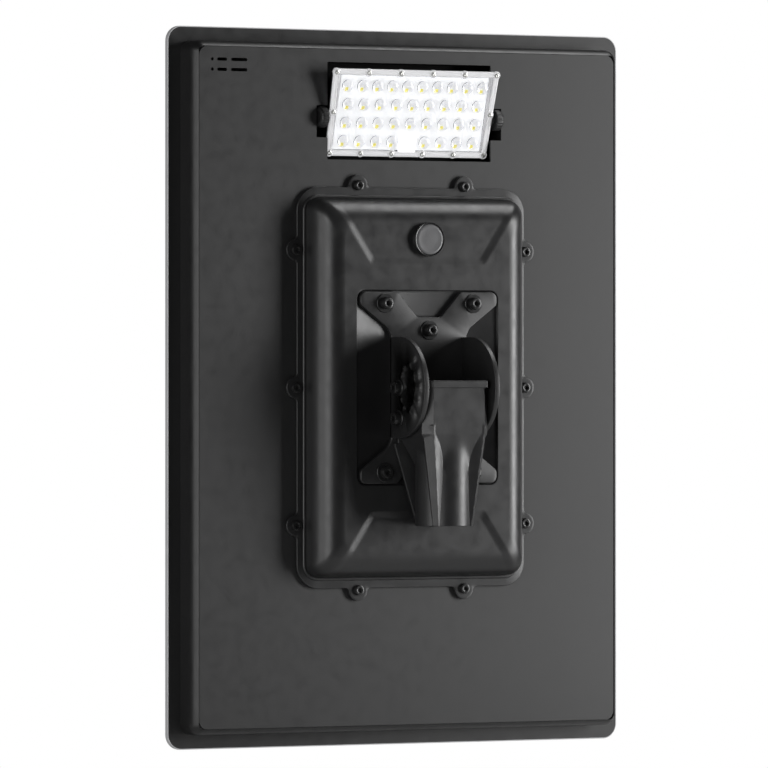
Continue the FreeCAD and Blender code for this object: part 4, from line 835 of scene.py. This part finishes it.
def make_sleeve():
    """Casting on the pole: each level is the furthest of a round tube, a blunt block that tapers into the
    tube, and two flat-topped ribs that run from the block's rear corners to the mouth."""
    count = 720
    turns = np.linspace(0, 2 * math.pi, count, endpoint=False)
    across, along = np.cos(turns), np.sin(turns)
    blend, crown_top, crown_mouth = 1.2, 53.6, 36.9

    def block_reach(half, back, corner, front):
        """How far a rectangle with two blunt rear corners reaches in each direction."""
        reach = half / np.maximum(np.abs(across), 1e-6)
        reach = np.minimum(reach, np.where(along > 0, front, back) / np.maximum(np.abs(along), 1e-6))
        slant = (half + back - corner) / np.maximum(np.abs(across) + np.maximum(-along, 0), 1e-6)
        return np.where(along < 0, np.minimum(reach, slant), reach)

    def level(z):
        """Reach at one height. Below the block the half width falls 0.54 mm a mm, and block and tube meet in
        a soft maximum. The ribs' crown goes from 53.6 mm at the block to 36.9 mm at the mouth."""
        drop = np.clip(-57.5 - z, 0, 60)
        half = BLOCK_HALF - 0.54 * drop
        back = BLOCK_BACK - 4.5 * smooth(-42, -100, z) - 0.1 * drop
        reach = block_reach(half, back, BLOCK_CORNER - 0.08 * drop, BLOCK_FRONT - 0.2 * drop)
        tube = np.full(count, 35.0)
        if z > -94:
            tube = np.minimum(tube, np.where(along > 0, 33.0 / np.maximum(along, 1e-6), 99))
        if z < -58:
            reach = blend * np.log(np.exp(reach / blend) + np.exp(tube / blend))
        foot = np.clip((-46 - z) / 125.5, 0, 1)
        crown = crown_top + (crown_mouth - crown_top) * foot
        half_angle = (7.2 + (3.5 - 7.2) * foot) / crown
        rib = np.zeros(count)
        for middle in (math.radians(218.4 + 6.6 * foot), math.radians(321.6 - 6.6 * foot)):
            off = np.abs((turns - middle + math.pi) % (2 * math.pi) - math.pi)
            fall = np.maximum(off - half_angle, 0)
            rib = np.maximum(rib, crown / np.cos(np.minimum(off, half_angle)) - fall * 62)
        if z > -46:
            rib = np.minimum(rib, block_reach(BLOCK_HALF, BLOCK_BACK, BLOCK_CORNER, BLOCK_FRONT))
        if z > -34:
            rib = rib * 0
        return np.maximum.reduce([reach, tube, rib])

    rings = []
    mouth = level(MOUTH)
    for radius, z in ((30.6, -91.5), (31.0, -92), (31.0, -170.9), (31.6, MOUTH)):
        rings.append((np.full(count, radius), z))
    rings.append((mouth - 0.7, MOUTH))
    rings.append((mouth, -170.8))
    for z in np.linspace(-169, -0.6, 110):
        rings.append((level(z), z))
    top = block_reach(BLOCK_HALF, BLOCK_BACK, BLOCK_CORNER, BLOCK_FRONT)
    lip = block_reach(BLOCK_HALF, 41.4, 8.0, BLOCK_FRONT)
    rings += [(top, 0.0), (lip - 0.5, 0.0), (lip, 0.6), (lip, 7.8), (lip - 0.4, 8.6), (lip - 1.2, 9.0)]
    points = []
    for reach, z in rings:
        points.append(np.stack([reach * across * MM, reach * along * MM,
                                np.full(count, TILT_AXIS[2] + z * MM)], -1))
    pile = Pile()
    pile.add(*skin(np.array(points)))
    piece = pile.piece("sleeve_casting", CAST, "pole_mount", "cast_black", 20)
    web = Pile()
    right = [(20, -171), (53, -69), (47, -69), (47, -46)]
    outline = round_corners(right + [(-x, z) for x, z in right[::-1]], [1, 2.5, 0.5, 0, 0, 0.5, 2.5, 1], 5)
    plate(web, head, outline, 50.0, 54.0, 0.7)
    web.piece("sleeve_web", CAST, "pole_mount", "cast_black")
    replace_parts(piece, "pole_sleeve")


# ---------------------------------------------------------------- lamp

LENS_TOP, LENS_FOOT = 63.0, -48.2
LENS_HALF_TOP, LENS_HALF_FOOT = 119.5, 115.5
LENS_BACK = 2.87
LENS_TOP_ROW, LENS_ROW_PITCH, LENS_ROWS = 41.6, 23.6, 4
SENSOR_DROP = 2.4


def lens_places():
    """Four rows of lenses, the last with a gap in the middle for the sensor cover."""
    spots = []
    for row, (count, pitch) in enumerate(((10, 21.6), (9, 23.4), (9, 23.4), (9, 23.4))):
        spots += [(pitch * (place - (count - 1) / 2), LENS_TOP_ROW - LENS_ROW_PITCH * row)
                  for place in range(count)
                  if not (row == LENS_ROWS - 1 and place == 4)]
    return spots


def lens_screw_places():
    """Screws along the top edge, along the foot and half way up each side."""
    by = 4.2
    spots = []
    for step in range(6):
        share = step / 2.5 - 1
        spots.append(((LENS_HALF_TOP - by) * share, LENS_TOP - by))
        spots.append(((LENS_HALF_FOOT - by) * share, LENS_FOOT + by))
    side = (LENS_HALF_TOP + LENS_HALF_FOOT) / 2 - by
    return spots + [(side, 8.0), (-side, 8.0)]


def lamp_outline(by):
    """The lamp's edge drawn in by an amount, slightly narrower at the foot, with rounded corners."""
    loop = [(LENS_HALF_TOP - by, LENS_TOP - by), (by - LENS_HALF_TOP, LENS_TOP - by),
            (by - LENS_HALF_FOOT, LENS_FOOT + by), (LENS_HALF_FOOT - by, LENS_FOOT + by)]
    return round_corners(loop, max(5.5 - by, 2.0), 8)


def make_lens():
    """Clear moulding: a rounded rim with a shallow groove, round lobes at the screws, and a low dome with a
    small flat edge over each chip."""
    rim = Pile()
    rings = []
    for by, depth in ((0.3, LENS_BACK), (0, 3.3), (0, 4.9), (0.4, 5.6), (1.2, 6.0), (2.2, 6.0), (2.9, 5.5),
                      (4.6, 5.5), (5.2, 6.0), (6.1, 6.0), (6.8, 5.4), (7.2, 4.6), (7.2, LENS_BACK)):
        loop = lamp_outline(by)
        rings.append(lamp(loop[:, 0], loop[:, 1], np.full(len(loop), depth)))
    rim.add(*skin(np.array(rings), ring_closed=True))
    lobe = [(5.0, LENS_BACK), (5.2, 5.4), (4.9, 6.2), (4.2, 6.5), (3.7, 6.2), (3.4, 5.4)]
    for x, z in lens_screw_places():
        turned(rim, lamp, x, z, lobe, 28)
    rim.piece("lens_rim", RIM, "lamp", "clear_lens")

    sheet = Pile()
    plate(sheet, lamp, lamp_outline(7.1), LENS_BACK, 4.6, 0.2, steps=1)
    turns = np.linspace(0, math.pi / 2, 7)
    for x, z in lens_places():
        profile = [(8.0, 4.5), (8.0, 5.9), (7.6, 6.3)]
        profile += [(7.1 * math.cos(turn), 6.3 + 1.1 * math.sin(turn)) for turn in turns[:-1]]
        turned(sheet, lamp, x, z, profile + [(0.3, 7.4)], 32)
    piece = sheet.piece("lens_domes", LENS, "lamp", "clear_lens")
    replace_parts(piece, "lens_plate")


def make_lamp_screws():
    """Small cross-head screws in the lobes."""
    pile = Pile()
    for x, z in lens_screw_places():
        turned(pile, lamp, x, z, [(3.1, 5.3), (3.1, 6.1), (2.7, 6.9), (1.5, 7.2), (1.2, 6.5), (0.3, 6.2)], 24)
    piece = pile.piece("lamp_screws", PLATED, "lamp", "plain_steel")
    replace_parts(piece, "lens_screws")


def make_sensor_cover():
    """Flat white cover, with a painted glow, in the middle of the bottom row, and beside it a small black
    disc as the painted shade of a hole.
    """
    pile = Pile()
    row = LENS_TOP_ROW - LENS_ROW_PITCH * (LENS_ROWS - 1) - SENSOR_DROP
    half_x, half_z = 12.0, 10.3
    loop = rounded_rectangle(half_x, half_z, 1.2, 5, (3, 3)) + (-0.6, row)
    plate(pile, lamp, loop, 4.6, 5.85, 0.4, steps=2)
    piece = pile.piece("sensor_window", WHITE, "lamp", "white_plastic")
    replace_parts(piece, "sensor_cover")
    # Painted shade: a black disc stands in for the dark inside of a small hole.
    hole_shade = Pile()
    turned(hole_shade, lamp, -15.2, -40.2, [(1.1, 4.5), (1.1, 4.9), (0.7, 5.1)], 20)
    hole_shade.piece("sensor_hole_painted_shade", KNOB, "lamp", "white_plastic")


def make_knobs():
    """Thumb knobs on both ends of the lamp's axis: a fluted rim, a domed end and a short collar."""
    def mirrored(x, z, depth):
        return lamp(-depth, z, x)

    def wave(turns, step):
        return 1 + 0.02 * np.cos(turns * 22) * (1 if 2 <= step <= 5 else 0)

    for name, place in (("left_knob", mirrored), ("right_knob", lamp_side)):
        pile = Pile()
        profile = [(6, 120.6), (6, 121.2), (12.6, 121.4), (13.1, 122.0), (13.1, 127.4), (12.7, 129.6),
                   (11.4, 131.2), (8.6, 131.9), (7.6, 131.4), (2, 131.4)]
        turned(pile, place, 0, 0, profile, 132, wave)
        piece = pile.piece(name.replace("_knob", "_thumb_knob"), KNOB, name, "knob_black")
        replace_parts(piece, name)


make_camera()
make_studio()
make_front_frame()
make_tray()
make_dome()
make_dome_screws()
make_button()
make_yoke()
make_bracket_screws()
make_tilt_bolts()
make_sleeve()
make_lens()
make_lamp_screws()
make_sensor_cover()
make_knobs()
